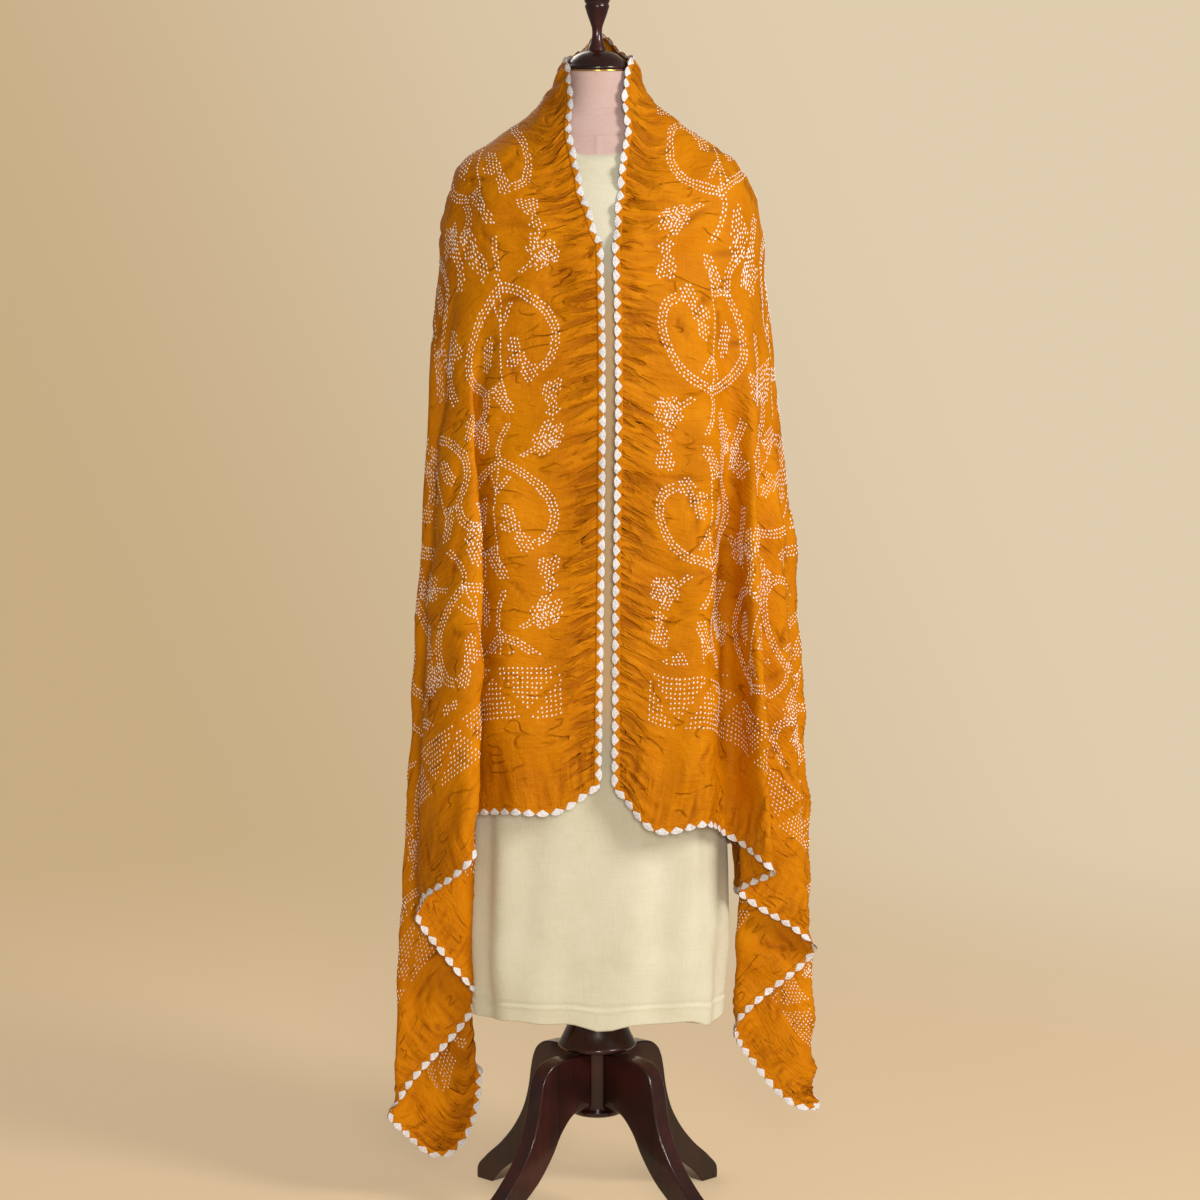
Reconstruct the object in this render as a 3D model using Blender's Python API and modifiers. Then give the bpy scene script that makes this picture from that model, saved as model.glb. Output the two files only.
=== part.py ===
"""A bandhani shawl with a crochet edging, hung round the neck of a dress form on a turned stand.

The shawl is one sheet. It is described by rays: a ray leaves the neckline, runs over the shoulder and falls
to the shawl's lower boundary. Each fold has one ray in a table, and the sheet is the smooth surface through
them.
Metres, +Z up, the viewer looks along +Y, and "left" and "right" are the viewer's.
"""
import math
from collections import namedtuple

import bmesh
import bpy
import numpy as np

# Shawl and edging
CLOTH_THICK = 0.0020
EDGING_WIDTH = 0.0090
SEAM_GAP = 0.0003
MITRE_LIMIT = 0.6
RAY_STEPS = 18
YOKE_STEPS = 7
CURVE_SAMPLES = 200
FOLD_SHARES = (0.0, 0.28, 0.72)
MID_HEIGHT = 0.85
RIGHT_SPREAD = 1.055
OPENING_TURN = 3.8
TURN_ROUNDNESS = 0.75

# Dress form
FORM_ROUND = 40
NECKLINE_FALL = 0.20
BODY_FALLS = (NECKLINE_FALL, 0.35, 0.50, 0.62, 0.74, 0.88, 1.00)
NECK_FALLS = (0.03, 0.11, NECKLINE_FALL)
NECK_TOP = 1.6165
NECK_RADIUS = 0.0430
CAP_RADIUS = 0.0440
CAP_TOP = 1.6425
FORM_BOTTOM = 0.2915

# Stand
COLUMN_RADIUS = 0.0265
COLUMN_BOTTOM = 0.1510
COLLAR_RADIUS = 0.0560
DISC_RADIUS = 0.0380
DISC_THICK = 0.0080
LEG_THICK = 0.0260
LEG_COUNT = 4
TURN_STEPS = 32
WELD_DISTANCE = 0.00005
TOUCH = 0.0003

# The shoulders as the cloth lies on them. A ring runs round the neck; "fall" goes from the collar's top to
# the yoke. side, front and back are how far the ring is from the axis there, with its height, and inset is
# how far the form's own surface lies inside it.
Ring = namedtuple("Ring", "fall side side_z front front_z back back_z inset")
SHOULDER = (
    Ring(-0.35, 0.056, 1.621, 0.056, 1.594, 0.062, 1.649, 0.006),
    Ring(0.00, 0.069, 1.578, 0.076, 1.535, 0.078, 1.560, 0.006),
    Ring(0.25, 0.122, 1.532, 0.102, 1.466, 0.102, 1.495, 0.006),
    Ring(0.50, 0.176, 1.499, 0.119, 1.422, 0.114, 1.445, 0.007),
    Ring(0.70, 0.204, 1.452, 0.128, 1.387, 0.121, 1.402, 0.013),
    Ring(1.00, 0.220, 1.330, 0.134, 1.330, 0.128, 1.330, 0.022),
)

# The neckline of the shawl on those rings, from the bottom of the V to the back of the neck.
# turn is the angle from the front, in degrees.
Neckline = namedtuple("Neckline", "turn fall")
NECKLINE = (
    Neckline(4.1, 0.73),
    Neckline(6.6, 0.57),
    Neckline(13.0, 0.33),
    Neckline(21.0, 0.17),
    Neckline(36.5, 0.03),
    Neckline(44.0, -0.12),
    Neckline(53.0, -0.26),
    Neckline(68.0, -0.34),
    Neckline(90.0, -0.35),
    Neckline(135.0, -0.35),
    Neckline(180.0, -0.35),
)

# One row for each fold. neck is its start as a share of the neckline, turn its place on the yoke ring,
# mid its place at mid height, and end the place and height where it meets the shawl's boundary.
Fold = namedtuple("Fold", "name neck turn mid_x mid_y end_x end_y end_z")
LEFT_FOLDS = (
    Fold("front edge", 0.000, 0.0, -0.001, -0.134, -0.004, -0.133, 0.645),
    Fold("front middle", 0.160, 17.0, -0.057, -0.139, -0.059, -0.141, 0.611),
    Fold("front turn", 0.300, 34.5, -0.119, -0.136, -0.113, -0.139, 0.612),
    Fold("recess", 0.370, 38.5, -0.194, -0.084, -0.194, -0.086, 0.590),
    Fold("second ridge", 0.430, 44.5, -0.157, -0.149, -0.167, -0.149, 0.559),
    Fold("second middle", 0.490, 50.0, -0.201, -0.138, -0.213, -0.137, 0.511),
    Fold("second turn", 0.550, 57.0, -0.232, -0.098, -0.248, -0.093, 0.476),
    Fold("inner turn", 0.600, 65.0, -0.171, -0.061, -0.179, -0.054, 0.348),
    Fold("outer turn", 0.660, 77.0, -0.251, -0.012, -0.279, -0.004, 0.127),
    Fold("low corner", 0.700, 89.0, -0.222, 0.020, -0.229, 0.022, 0.079),
    Fold("tail turn", 0.735, 98.0, -0.198, 0.043, -0.199, 0.052, 0.270),
    Fold("side ridge", 0.775, 109.0, -0.246, 0.062, -0.262, 0.072, 0.375),
    Fold("side valley", 0.815, 120.0, -0.195, 0.085, -0.196, 0.088, 0.440),
    Fold("back ridge", 0.855, 132.0, -0.190, 0.144, -0.212, 0.176, 0.490),
    Fold("back valley", 0.895, 144.0, -0.133, 0.115, -0.130, 0.110, 0.535),
    Fold("inner back ridge", 0.932, 156.0, -0.097, 0.157, -0.106, 0.188, 0.575),
    Fold("inner back valley", 0.966, 168.0, -0.050, 0.127, -0.048, 0.120, 0.605),
)
BACK_CENTRE = Fold("back centre", 1.000, 180.0, 0.000, 0.150, 0.000, 0.172, 0.625)
RIGHT_FOLDS = (
    Fold("front edge", 0.000, 7.9, 0.031, -0.134, 0.030, -0.133, 0.640),
    Fold("front middle", 0.160, 21.0, 0.087, -0.139, 0.084, -0.142, 0.586),
    Fold("front turn", 0.300, 36.0, 0.149, -0.137, 0.151, -0.140, 0.595),
    Fold("recess", 0.370, 44.0, 0.178, -0.068, 0.184, -0.074, 0.566),
    Fold("second ridge", 0.440, 55.0, 0.222, -0.127, 0.239, -0.118, 0.532),
    Fold("second turn", 0.520, 63.0, 0.207, -0.064, 0.202, -0.058, 0.485),
    Fold("outer ridge", 0.600, 73.0, 0.263, -0.046, 0.297, -0.036, 0.412),
    Fold("inner turn", 0.655, 81.0, 0.214, -0.006, 0.197, 0.002, 0.265),
    Fold("low corner", 0.700, 90.0, 0.283, 0.020, 0.305, 0.026, 0.148),
    Fold("tail turn", 0.745, 101.0, 0.225, 0.045, 0.214, 0.055, 0.330),
    Fold("side ridge", 0.785, 111.0, 0.268, 0.070, 0.285, 0.084, 0.400),
    Fold("side valley", 0.820, 121.0, 0.205, 0.088, 0.200, 0.090, 0.450),
    Fold("back ridge", 0.857, 132.0, 0.196, 0.145, 0.214, 0.177, 0.495),
    Fold("back valley", 0.895, 144.0, 0.138, 0.115, 0.134, 0.110, 0.540),
    Fold("inner back ridge", 0.932, 156.0, 0.099, 0.157, 0.107, 0.188, 0.580),
    Fold("inner back valley", 0.966, 168.0, 0.050, 0.127, 0.048, 0.120, 0.607),
)

# The form's body below the yoke: half its width and depth at each height, and how square its section is.
Section = namedtuple("Section", "z half_width half_depth squareness")
BODY = (
    Section(1.240, 0.184, 0.112, 2.1),
    Section(1.140, 0.160, 0.104, 2.1),
    Section(1.050, 0.142, 0.095, 2.1),
    Section(0.960, 0.152, 0.101, 2.2),
    Section(0.870, 0.170, 0.109, 2.3),
    Section(0.780, 0.178, 0.110, 2.4),
    Section(0.600, 0.179, 0.104, 2.4),
    Section(0.310, 0.176, 0.097, 2.4),
    Section(FORM_BOTTOM, 0.173, 0.094, 2.4),
)

# The linen neck above its shoulders, and turned profiles from bottom to top.
Turn = namedtuple("Turn", "radius z")
NECK_TURNS = (
    Turn(NECK_RADIUS, NECK_TOP),
    Turn(NECK_RADIUS + 0.001, 1.600),
    Turn(NECK_RADIUS + 0.004, 1.585),
)
CAP_TURNS = (
    Turn(CAP_RADIUS, NECK_TOP + TOUCH),
    Turn(CAP_RADIUS, 1.6205),
    Turn(0.0412, 1.6240),
    Turn(0.0350, 1.6315),
    Turn(0.0270, 1.6375),
    Turn(0.0180, 1.6412),
    Turn(0.0130, CAP_TOP),
)
FINIAL_TURNS = (
    Turn(0.0127, CAP_TOP + TOUCH),
    Turn(0.0116, 1.6465),
    Turn(0.0094, 1.6520),
    Turn(0.0073, 1.6597),
    Turn(0.0068, 1.6660),
    Turn(0.0074, 1.6735),
    Turn(0.0096, 1.6803),
    Turn(0.0125, 1.6883),
    Turn(0.0151, 1.6963),
    Turn(0.0166, 1.7040),
    Turn(0.0158, 1.7058),
    Turn(0.0170, 1.7080),
    Turn(0.0172, 1.7230),
    Turn(0.0170, 1.7350),
    Turn(0.0120, 1.7480),
    Turn(0.0070, 1.7550),
    Turn(0.0080, 1.7630),
    Turn(0.0050, 1.7700),
    Turn(0.0000, 1.7730),
)
COLLAR_TURNS = (
    Turn(COLUMN_RADIUS + TOUCH, 0.2370),
    Turn(0.0400, 0.2385),
    Turn(COLLAR_RADIUS - 0.003, 0.2420),
    Turn(COLLAR_RADIUS, 0.2455),
    Turn(COLLAR_RADIUS - 0.002, 0.2500),
    Turn(0.0460, 0.2570),
    Turn(0.0420, 0.2700),
    Turn(0.0420, FORM_BOTTOM - TOUCH),
    Turn(COLUMN_RADIUS + TOUCH, FORM_BOTTOM - TOUCH),
)

# A leg's outline in its own plane: reach from the axis and height, round the plank from the column's foot.
LegPoint = namedtuple("LegPoint", "reach z")
LEG_TOP = (
    LegPoint(COLUMN_RADIUS + TOUCH, 0.2340),
    LegPoint(0.0600, 0.2355),
    LegPoint(0.0950, 0.2330),
    LegPoint(0.1150, 0.2210),
    LegPoint(0.1230, 0.1950),
    LegPoint(0.1290, 0.1600),
    LegPoint(0.1400, 0.1270),
    LegPoint(0.1590, 0.0960),
    LegPoint(0.1880, 0.0640),
    LegPoint(0.2210, 0.0360),
    LegPoint(0.2370, 0.0180),
    LegPoint(0.2380, 0.0000),
)
LEG_UNDERSIDE = (
    LegPoint(0.2060, 0.0000),
    LegPoint(0.1950, 0.0130),
    LegPoint(0.1560, 0.0440),
    LegPoint(0.1250, 0.0700),
    LegPoint(0.1000, 0.1010),
    LegPoint(0.0800, 0.1330),
    LegPoint(0.0580, 0.1530),
    LegPoint(COLUMN_RADIUS + TOUCH, 0.1560),
)

# Colours, as Blender's linear values
MUSTARD = (0.59, 0.22, 0.008)
WHITE_COTTON = (0.82, 0.76, 0.72)
CREAM_LINEN = (0.76, 0.69, 0.49)
PINK_LINEN = (0.64, 0.44, 0.37)
MAHOGANY = (0.030, 0.007, 0.006)


def material(name, colour, roughness, metallic=0.0):
    """One Principled finish."""
    finish = bpy.data.materials.new(name)
    finish.use_nodes = True
    shader = finish.node_tree.nodes["Principled BSDF"]
    shader.inputs["Base Color"].default_value = (*colour, 1.0)
    shader.inputs["Roughness"].default_value = roughness
    shader.inputs["Metallic"].default_value = metallic
    return finish


def add_object(name, mesh, finish):
    """Puts a mesh into the shawl's collection under its own name."""
    piece = bpy.data.objects.new(name, mesh)
    mesh.materials.append(finish)
    SHAWL_SET.objects.link(piece)
    return piece


def slopes(keys, values):
    """Slope of a smooth curve at each key: both neighbouring chords' slopes, the nearer one counting more."""
    step = np.diff(keys, axis=0)
    chord = np.diff(values, axis=0) / step
    inner = (chord[:-1] * step[1:] + chord[1:] * step[:-1]) / (step[:-1] + step[1:])
    return np.concatenate([chord[:1], inner, chord[-1:]])


def hermite(share, step, start, end, slope_in, slope_out):
    """Cubic from start to end over step, at a share of it, with the slopes it has at both ends."""
    blend = share * share * (3 - 2 * share)
    rise_in = share * (1 - share) ** 2 * step
    rise_out = -share * share * (1 - share) * step
    return start + (end - start) * blend + slope_in * rise_in + slope_out * rise_out


def curve_at(keys, values, at):
    """Values at any places on the smooth curve through rows of values at rising keys."""
    keys, values = np.asarray(keys, float), np.asarray(values, float)
    slope = slopes(keys[:, None], values)
    left = np.clip(np.searchsorted(keys, at, side="right") - 1, 0, len(keys) - 2)
    step = (keys[left + 1] - keys[left])[:, None]
    share = (np.asarray(at) - keys[left])[:, None] / step
    return hermite(share, step, values[left], values[left + 1], slope[left], slope[left + 1])


def lengths_along(points):
    """Distance from the first point along a line of points."""
    return np.concatenate([[0.0], np.cumsum(np.linalg.norm(np.diff(points, axis=0), axis=1))])


def shoulder_points(turn, fall, side, inset=False):
    """Points on the shoulders at angles from the front and falls from the neck; side is -1 left, 1 right.

    x is the ring's side reach times the sine of the angle, y its front or back reach times minus the cosine,
    and the height goes from the front's or back's to the side's with the sine squared.
    """
    turn, fall = np.radians(np.atleast_1d(turn)), np.atleast_1d(fall)
    ring = curve_at([row.fall for row in SHOULDER], [row[1:] for row in SHOULDER], fall)
    width, side_z, front, front_z, back, back_z, inward = ring.T
    inward = inward if inset else np.zeros_like(inward)
    ahead = np.cos(turn) > 0
    depth = np.where(ahead, front, back) - inward
    end_z = np.where(ahead, front_z, back_z)
    spread = RIGHT_SPREAD if side > 0 and not inset else 1.0
    x = side * (width * spread - inward) * np.sin(turn)
    y = -depth * np.cos(turn)
    z = side_z * np.sin(turn) ** 2 + end_z * np.cos(turn) ** 2 - inward
    return np.stack([x, y, z], axis=1)


def neckline_at(share, side):
    """Turn and fall of the neckline at a share of its length; it opens a little right of the axis."""
    rows = np.array(NECKLINE)
    along = lengths_along(shoulder_points(rows[:, 0], rows[:, 1], side))
    turn, fall = curve_at(along / along[-1], rows, [share])[0]
    opening = OPENING_TURN * max(fall, 0.0) / NECKLINE[0].fall
    return turn + side * opening, fall


def ray(fold, side):
    """A fold's line from the neckline over the yoke to the boundary, in equal steps."""
    neck_turn, neck_fall = neckline_at(fold.neck, side)
    down = np.linspace(0.0, 1.0, YOKE_STEPS)
    turns = neck_turn + (fold.turn - neck_turn) * down
    upper = shoulder_points(turns, neck_fall + (1 - neck_fall) * down, side)
    middle = (fold.mid_x, fold.mid_y, MID_HEIGHT)
    end = (fold.end_x, fold.end_y, fold.end_z)
    keys = np.vstack([upper, middle, end])
    along = lengths_along(keys)
    fine = curve_at(along, keys, np.linspace(0.0, along[-1], CURVE_SAMPLES))
    along = lengths_along(fine)
    steps = np.linspace(0.0, along[-1], RAY_STEPS + 1)
    return np.stack([np.interp(steps, along, fine[:, axis]) for axis in range(3)], axis=1)


def sheet_points():
    """Grid of the sheet's middle surface: columns run from the left front edge round to the right one."""
    rays = [ray(fold, -1) for fold in LEFT_FOLDS]
    rays.append(ray(BACK_CENTRE, -1))
    rays += [ray(fold, 1) for fold in reversed(RIGHT_FOLDS)]
    rays = np.array(rays)
    step = np.linalg.norm(np.diff(rays, axis=0), axis=2, keepdims=True)
    keys = np.concatenate([np.zeros_like(step[:1]), np.cumsum(step, axis=0)])
    slope = slopes(keys, rays)
    speed = np.linalg.norm(slope[:, :, :2], axis=2, keepdims=True)
    slope[:, :, :2] *= TURN_ROUNDNESS / speed + 1 - TURN_ROUNDNESS
    columns = []
    for share in FOLD_SHARES:
        columns.append(hermite(share, step, rays[:-1], rays[1:], slope[:-1], slope[1:]))
    between = np.stack(columns, axis=1).reshape(-1, RAY_STEPS + 1, 3)
    return np.concatenate([between, rays[-1:]])


def grid_faces(columns, rows):
    """Triangles of the sheet; the diagonals leave both bottoms of the V."""
    number = np.arange(columns * rows).reshape(columns, rows)
    faces = []
    for i in range(columns - 1):
        for j in range(rows - 1):
            a, b, c, d = number[i, j], number[i, j + 1], number[i + 1, j + 1], number[i + 1, j]
            if i < columns // 2:
                faces += [(a, b, c), (a, c, d)]
            else:
                faces += [(a, b, d), (b, c, d)]
    return faces


def rim_order(columns, rows):
    """The sheet's boundary points in order: neckline, right edge, lower boundary, left edge."""
    number = np.arange(columns * rows).reshape(columns, rows)
    neckline, right = number[:-1, 0], number[-1, :-1]
    lower, left = number[:0:-1, -1], number[0, :0:-1]
    return np.concatenate([neckline, right, lower, left])


def slab(name, points, normals, faces, walls, thickness, finish):
    """Closed solid from a surface: half its thickness to each side, with a wall between them along each rim.

    A rim's points run the way its triangles turn. Two solids that meet at a seam run it in opposite ways with
    the same normals, so the wall of one takes its other diagonals, and then both walls are parallel.
    """
    count = len(points)
    both = np.vstack([points + normals * thickness / 2, points - normals * thickness / 2])
    triangles = [tuple(face) for face in faces] + [tuple(count + i for i in reversed(face)) for face in faces]
    for rim, other_diagonal in walls:
        for i, j in zip(rim, np.roll(rim, -1)):
            if other_diagonal:
                triangles += [(j, i, count + j), (i, count + i, count + j)]
            else:
                triangles += [(j, i, count + i), (j, count + i, count + j)]
    mesh = bpy.data.meshes.new(name)
    mesh.from_pydata(both.tolist(), [], [tuple(map(int, face)) for face in triangles])
    return add_object(name, mesh, finish)


def unit(vectors):
    """Vectors of length one."""
    return vectors / np.linalg.norm(vectors, axis=-1, keepdims=True)


def grid_normals(grid):
    """Normal at each grid point: halfway between those of the cells on its left and on its right.

    Both count the same, however narrow or slanted a cell is, so a sharp turn keeps its thickness. The first
    point of both front edges takes the normal of the next one down, because the neckline starts there almost
    level.
    """
    down = np.gradient(grid, axis=1)
    across = np.diff(grid, axis=0)
    right = unit(np.cross(down[:-1], across))
    left = unit(np.cross(down[1:], across))
    normals = np.concatenate([right, right[-1:]]) + np.concatenate([left[:1], left])
    normals[0], normals[-1] = right[0], left[-1]
    for end in (0, -1):
        normals[end, 0] = normals[end, 1]
    return unit(normals)


def build_shawl():
    """The sheet, and its boundary's points and normals for the edging."""
    grid = sheet_points()
    columns, rows = grid.shape[:2]
    points = grid.reshape(-1, 3)
    faces = grid_faces(columns, rows)
    normals = grid_normals(grid).reshape(-1, 3)
    rim = rim_order(columns, rows)
    silk = material("tie-dyed silk", MUSTARD, 0.55)
    slab("shawl", points, normals, faces, [(rim[::-1], False)], CLOTH_THICK, silk)
    return points[rim], normals[rim]


def build_edging(rim_points, rim_normals):
    """Crochet strip round the sheet: each rim point moved out in the cloth's plane, mitred at the corners."""
    ahead = unit(np.roll(rim_points, -1, axis=0) - rim_points)
    out_ahead = unit(np.cross(rim_normals, ahead))
    out_behind = unit(np.cross(rim_normals, np.roll(ahead, 1, axis=0)))
    meet = np.sum(out_ahead * out_behind, axis=1, keepdims=True)
    outward = (out_ahead + out_behind) / np.maximum(1 + meet, MITRE_LIMIT)
    points = np.vstack([rim_points + outward * SEAM_GAP, rim_points + outward * (SEAM_GAP + EDGING_WIDTH)])
    count = len(rim_points)
    inner = np.arange(count)
    following = np.roll(inner, -1)
    faces = []
    for i, j in zip(inner, following):
        faces += [(i, j, count + j), (i, count + j, count + i)]
    walls = [(inner, True), ((count + inner)[::-1], False)]
    cotton = material("crochet cotton", WHITE_COTTON, 0.9)
    slab("edging", points, np.vstack([rim_normals, rim_normals]), faces, walls, CLOTH_THICK, cotton)


def loft(name, rings, finish):
    """Closed solid through rings of points, top to bottom, with a point in the middle of both ends."""
    count = len(rings[0])
    points = np.vstack(rings + [rings[0].mean(axis=0)[None], rings[-1].mean(axis=0)[None]])
    top, bottom, last = len(rings) * count, len(rings) * count + 1, (len(rings) - 1) * count
    faces = []
    for i in range(count):
        j = (i + 1) % count
        for level in range(0, last, count):
            faces.append((level + i, level + count + i, level + count + j, level + j))
        faces.append((top, i, j))
        faces.append((bottom, last + j, last + i))
    mesh = bpy.data.meshes.new(name)
    mesh.from_pydata(points.tolist(), [], faces)
    bm = bmesh.new()
    bm.from_mesh(mesh)
    bmesh.ops.recalc_face_normals(bm, faces=bm.faces)
    bm.to_mesh(mesh)
    bm.free()
    mesh.shade_smooth()
    return add_object(name, mesh, finish)


def form_ring(fall):
    """One ring of the form's own shoulders, right round."""
    turn = np.linspace(0.0, 360.0, FORM_ROUND, endpoint=False)
    return shoulder_points(turn, np.full(FORM_ROUND, fall), 1, inset=True)


def body_ring(section):
    """Superellipse: |x/a|^n + |y/b|^n = 1."""
    turn = np.linspace(0.0, 2 * math.pi, FORM_ROUND, endpoint=False)
    power = 2.0 / section.squareness
    x = section.half_width * np.sign(np.sin(turn)) * np.abs(np.sin(turn)) ** power
    y = -section.half_depth * np.sign(np.cos(turn)) * np.abs(np.cos(turn)) ** power
    return np.stack([x, y, np.full(FORM_ROUND, section.z)], axis=1)


def neck_ring(row):
    """A level ring of the neck."""
    turn = np.linspace(0.0, 2 * math.pi, FORM_ROUND, endpoint=False)
    x, y = row.radius * np.sin(turn), -row.radius * np.cos(turn)
    return np.stack([x, y, np.full(FORM_ROUND, row.z)], axis=1)


def build_form():
    """Body in its cream cover and the linen neck, parted at the neckline of the cover."""
    rings = [form_ring(fall) for fall in BODY_FALLS]
    rings[0] = rings[0] - np.array([0.0, 0.0, TOUCH])
    rings += [body_ring(section) for section in BODY]
    loft("form_body", rings, material("cream linen cover", CREAM_LINEN, 0.85))
    neck = [neck_ring(row) for row in NECK_TURNS] + [form_ring(fall) for fall in NECK_FALLS]
    loft("form_neck", neck, material("pink linen", PINK_LINEN, 0.9))


def turned(name, turns, finish, hollow=False):
    """Turned piece: its profile swept round the axis by a Screw modifier, outer side from top to bottom.

    A solid piece's profile reaches the axis at both ends. A hollow one's is closed, for a bore.
    """
    profile = [(row.radius, 0.0, row.z) for row in reversed(turns)]
    if not hollow and turns[-1].radius > 0:
        profile.insert(0, (0.0, 0.0, turns[-1].z))
    if not hollow and turns[0].radius > 0:
        profile.append((0.0, 0.0, turns[0].z))
    edges = [(i, i + 1) for i in range(len(profile) - 1)]
    if hollow:
        edges.append((len(profile) - 1, 0))
    mesh = bpy.data.meshes.new(name)
    mesh.from_pydata(profile, edges, [])
    piece = add_object(name, mesh, finish)
    screw = piece.modifiers.new("Turning", "SCREW")
    screw.steps = TURN_STEPS
    screw.render_steps = TURN_STEPS
    screw.use_merge_vertices = True
    screw.merge_threshold = WELD_DISTANCE


def build_leg(number, finish):
    """Plank leg sawn to a cabriole outline: a flat curve with half the plank's thickness to each side."""
    outline = LEG_TOP + LEG_UNDERSIDE
    curve = bpy.data.curves.new(f"leg_{number}", "CURVE")
    curve.dimensions = "2D"
    curve.fill_mode = "BOTH"
    curve.extrude = LEG_THICK / 2
    spline = curve.splines.new("POLY")
    spline.points.add(len(outline) - 1)
    for point, row in zip(spline.points, outline):
        point.co = (row.reach, row.z, 0.0, 1.0)
    spline.use_cyclic_u = True
    leg = bpy.data.objects.new(f"leg_{number}", curve)
    leg.rotation_euler = (math.pi / 2, 0.0, math.radians(45 + 90 * (number - 1)))
    curve.materials.append(finish)
    SHAWL_SET.objects.link(leg)


def build_stand():
    """Cap and finial above the neck; collar, column, foot disc and legs below the body."""
    wood = material("mahogany", MAHOGANY, 0.22)
    turned("neck_cap", CAP_TURNS, wood)
    turned("finial", FINIAL_TURNS, wood)
    turned("collar", COLLAR_TURNS, wood, hollow=True)
    column_top = FORM_BOTTOM - TOUCH
    turned("column", (Turn(COLUMN_RADIUS, COLUMN_BOTTOM), Turn(COLUMN_RADIUS, column_top)), wood)
    disc_top = COLUMN_BOTTOM - TOUCH
    turned("foot_disc", (Turn(DISC_RADIUS, disc_top - DISC_THICK), Turn(DISC_RADIUS, disc_top)), wood)
    for number in range(1, LEG_COUNT + 1):
        build_leg(number, wood)


def stand_on_origin():
    """Moves everything so that the middle of the whole's plan is at the origin, with its feet on z = 0."""
    graph = bpy.context.evaluated_depsgraph_get()
    points = []
    for piece in SHAWL_SET.objects:
        mesh = piece.evaluated_get(graph).to_mesh()
        points += [piece.matrix_world @ vertex.co for vertex in mesh.vertices]
    points = np.array(points)
    low, high = points.min(axis=0), points.max(axis=0)
    for piece in SHAWL_SET.objects:
        piece.location.x -= (low[0] + high[0]) / 2
        piece.location.y -= (low[1] + high[1]) / 2


for thing in list(bpy.data.objects):
    bpy.data.objects.remove(thing, do_unlink=True)
SHAWL_SET = bpy.data.collections.new("bandhani shawl on a dress form")
bpy.context.scene.collection.children.link(SHAWL_SET)

build_edging(*build_shawl())
build_form()
build_stand()
stand_on_origin()
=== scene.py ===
"""Looks of a bandhani shawl on a dress form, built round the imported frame.

The shawl is one tie-dyed sheet with a crochet edging. It hangs round the form's neck with both ends in front.
Metres, +Z up. The viewer looks along +Y, and "left" and "right" are the viewer's.
"""
import math
from collections import namedtuple

import bpy
import numpy as np
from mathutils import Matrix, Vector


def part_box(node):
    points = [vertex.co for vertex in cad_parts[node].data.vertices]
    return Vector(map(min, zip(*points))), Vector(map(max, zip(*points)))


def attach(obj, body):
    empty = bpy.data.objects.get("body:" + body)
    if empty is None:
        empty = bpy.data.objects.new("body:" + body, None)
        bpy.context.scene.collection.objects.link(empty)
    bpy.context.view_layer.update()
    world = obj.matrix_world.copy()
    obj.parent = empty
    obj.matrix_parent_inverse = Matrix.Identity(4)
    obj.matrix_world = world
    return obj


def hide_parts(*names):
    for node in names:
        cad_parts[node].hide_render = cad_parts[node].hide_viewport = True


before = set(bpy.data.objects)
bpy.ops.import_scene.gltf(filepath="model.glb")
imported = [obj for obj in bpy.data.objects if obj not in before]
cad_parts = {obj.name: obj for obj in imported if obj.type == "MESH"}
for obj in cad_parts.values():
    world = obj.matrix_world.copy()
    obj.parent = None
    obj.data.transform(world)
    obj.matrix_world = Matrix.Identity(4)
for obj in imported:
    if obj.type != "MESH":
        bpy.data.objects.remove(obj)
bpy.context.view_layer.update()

# Room. The object stands in a plain studio: a sand-coloured floor that fades into a backdrop far behind it, a
# large soft light from the front right, one as strong straight in front, and a faint one from behind. The
# camera is at about the height of the form's neck, 5.3 m in front of it, and looks a little down.
COLUMN_BOX = np.array([list(corner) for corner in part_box("column")])
AXIS = COLUMN_BOX.mean(axis=0) * (1, 1, 0)
CAMERA_PLACE = AXIS + (0.004, -5.300, 1.620)
CAMERA_PITCH = math.radians(7.94)
SENSOR_WIDTH = 36.0
FOCAL_LENGTH = 114.66
AIR_COLOUR, AIR_STRENGTH = "#F6EADB", 0.30
FLOOR_RADIUS, FLOOR_RINGS, FLOOR_SPOKES = 6.0, 13, 64
FLOOR_PAPER, FLOOR_LIT, FLOOR_GLOW = "#B49E80", "#D2BB9A", 0.52
FLOOR_FADE = (0.9, 2.9)
BACKDROP_PLACE = 7.5
BACKDROP_SIDES, BACKDROP_HEIGHTS, BACKDROP_STEPS = (-6.0, 6.0), (-4.0, 5.0), 7
BACKDROP_SHADE, BACKDROP_LIT = "#C7AC84", "#E0CDAF"
BACKDROP_SLANT = (1.0, 0.0, 0.45)
BACKDROP_SPREAD = (-2.05, 1.75)
BACKDROP_FADE = (2.3, 4.4)
LIGHT_AIM = AXIS + (0.0, 0.0, 1.0)
Lamp = namedtuple("Lamp", "name place width height watts colour")
LAMPS = (
    Lamp("key", (3.1, -2.5, 2.9), 1.2, 1.4, 150.0, "#FFFBF4"),
    Lamp("fill", (0.3, -5.4, 1.9), 1.0, 1.0, 150.0, "#FFF8EE"),
    Lamp("back", (-1.2, 3.0, 2.9), 1.6, 1.6, 25.0, "#FFF8F0"),
)


def linear(hex_code):
    """An sRGB hex value as linear red, green, blue and alpha."""
    parts = np.array([int(hex_code[i:i + 2], 16) for i in (1, 3, 5)]) / 255
    curve = np.where(parts <= 0.04045, parts / 12.92, ((parts + 0.055) / 1.055) ** 2.4)
    return (*curve.tolist(), 1.0)


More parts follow.
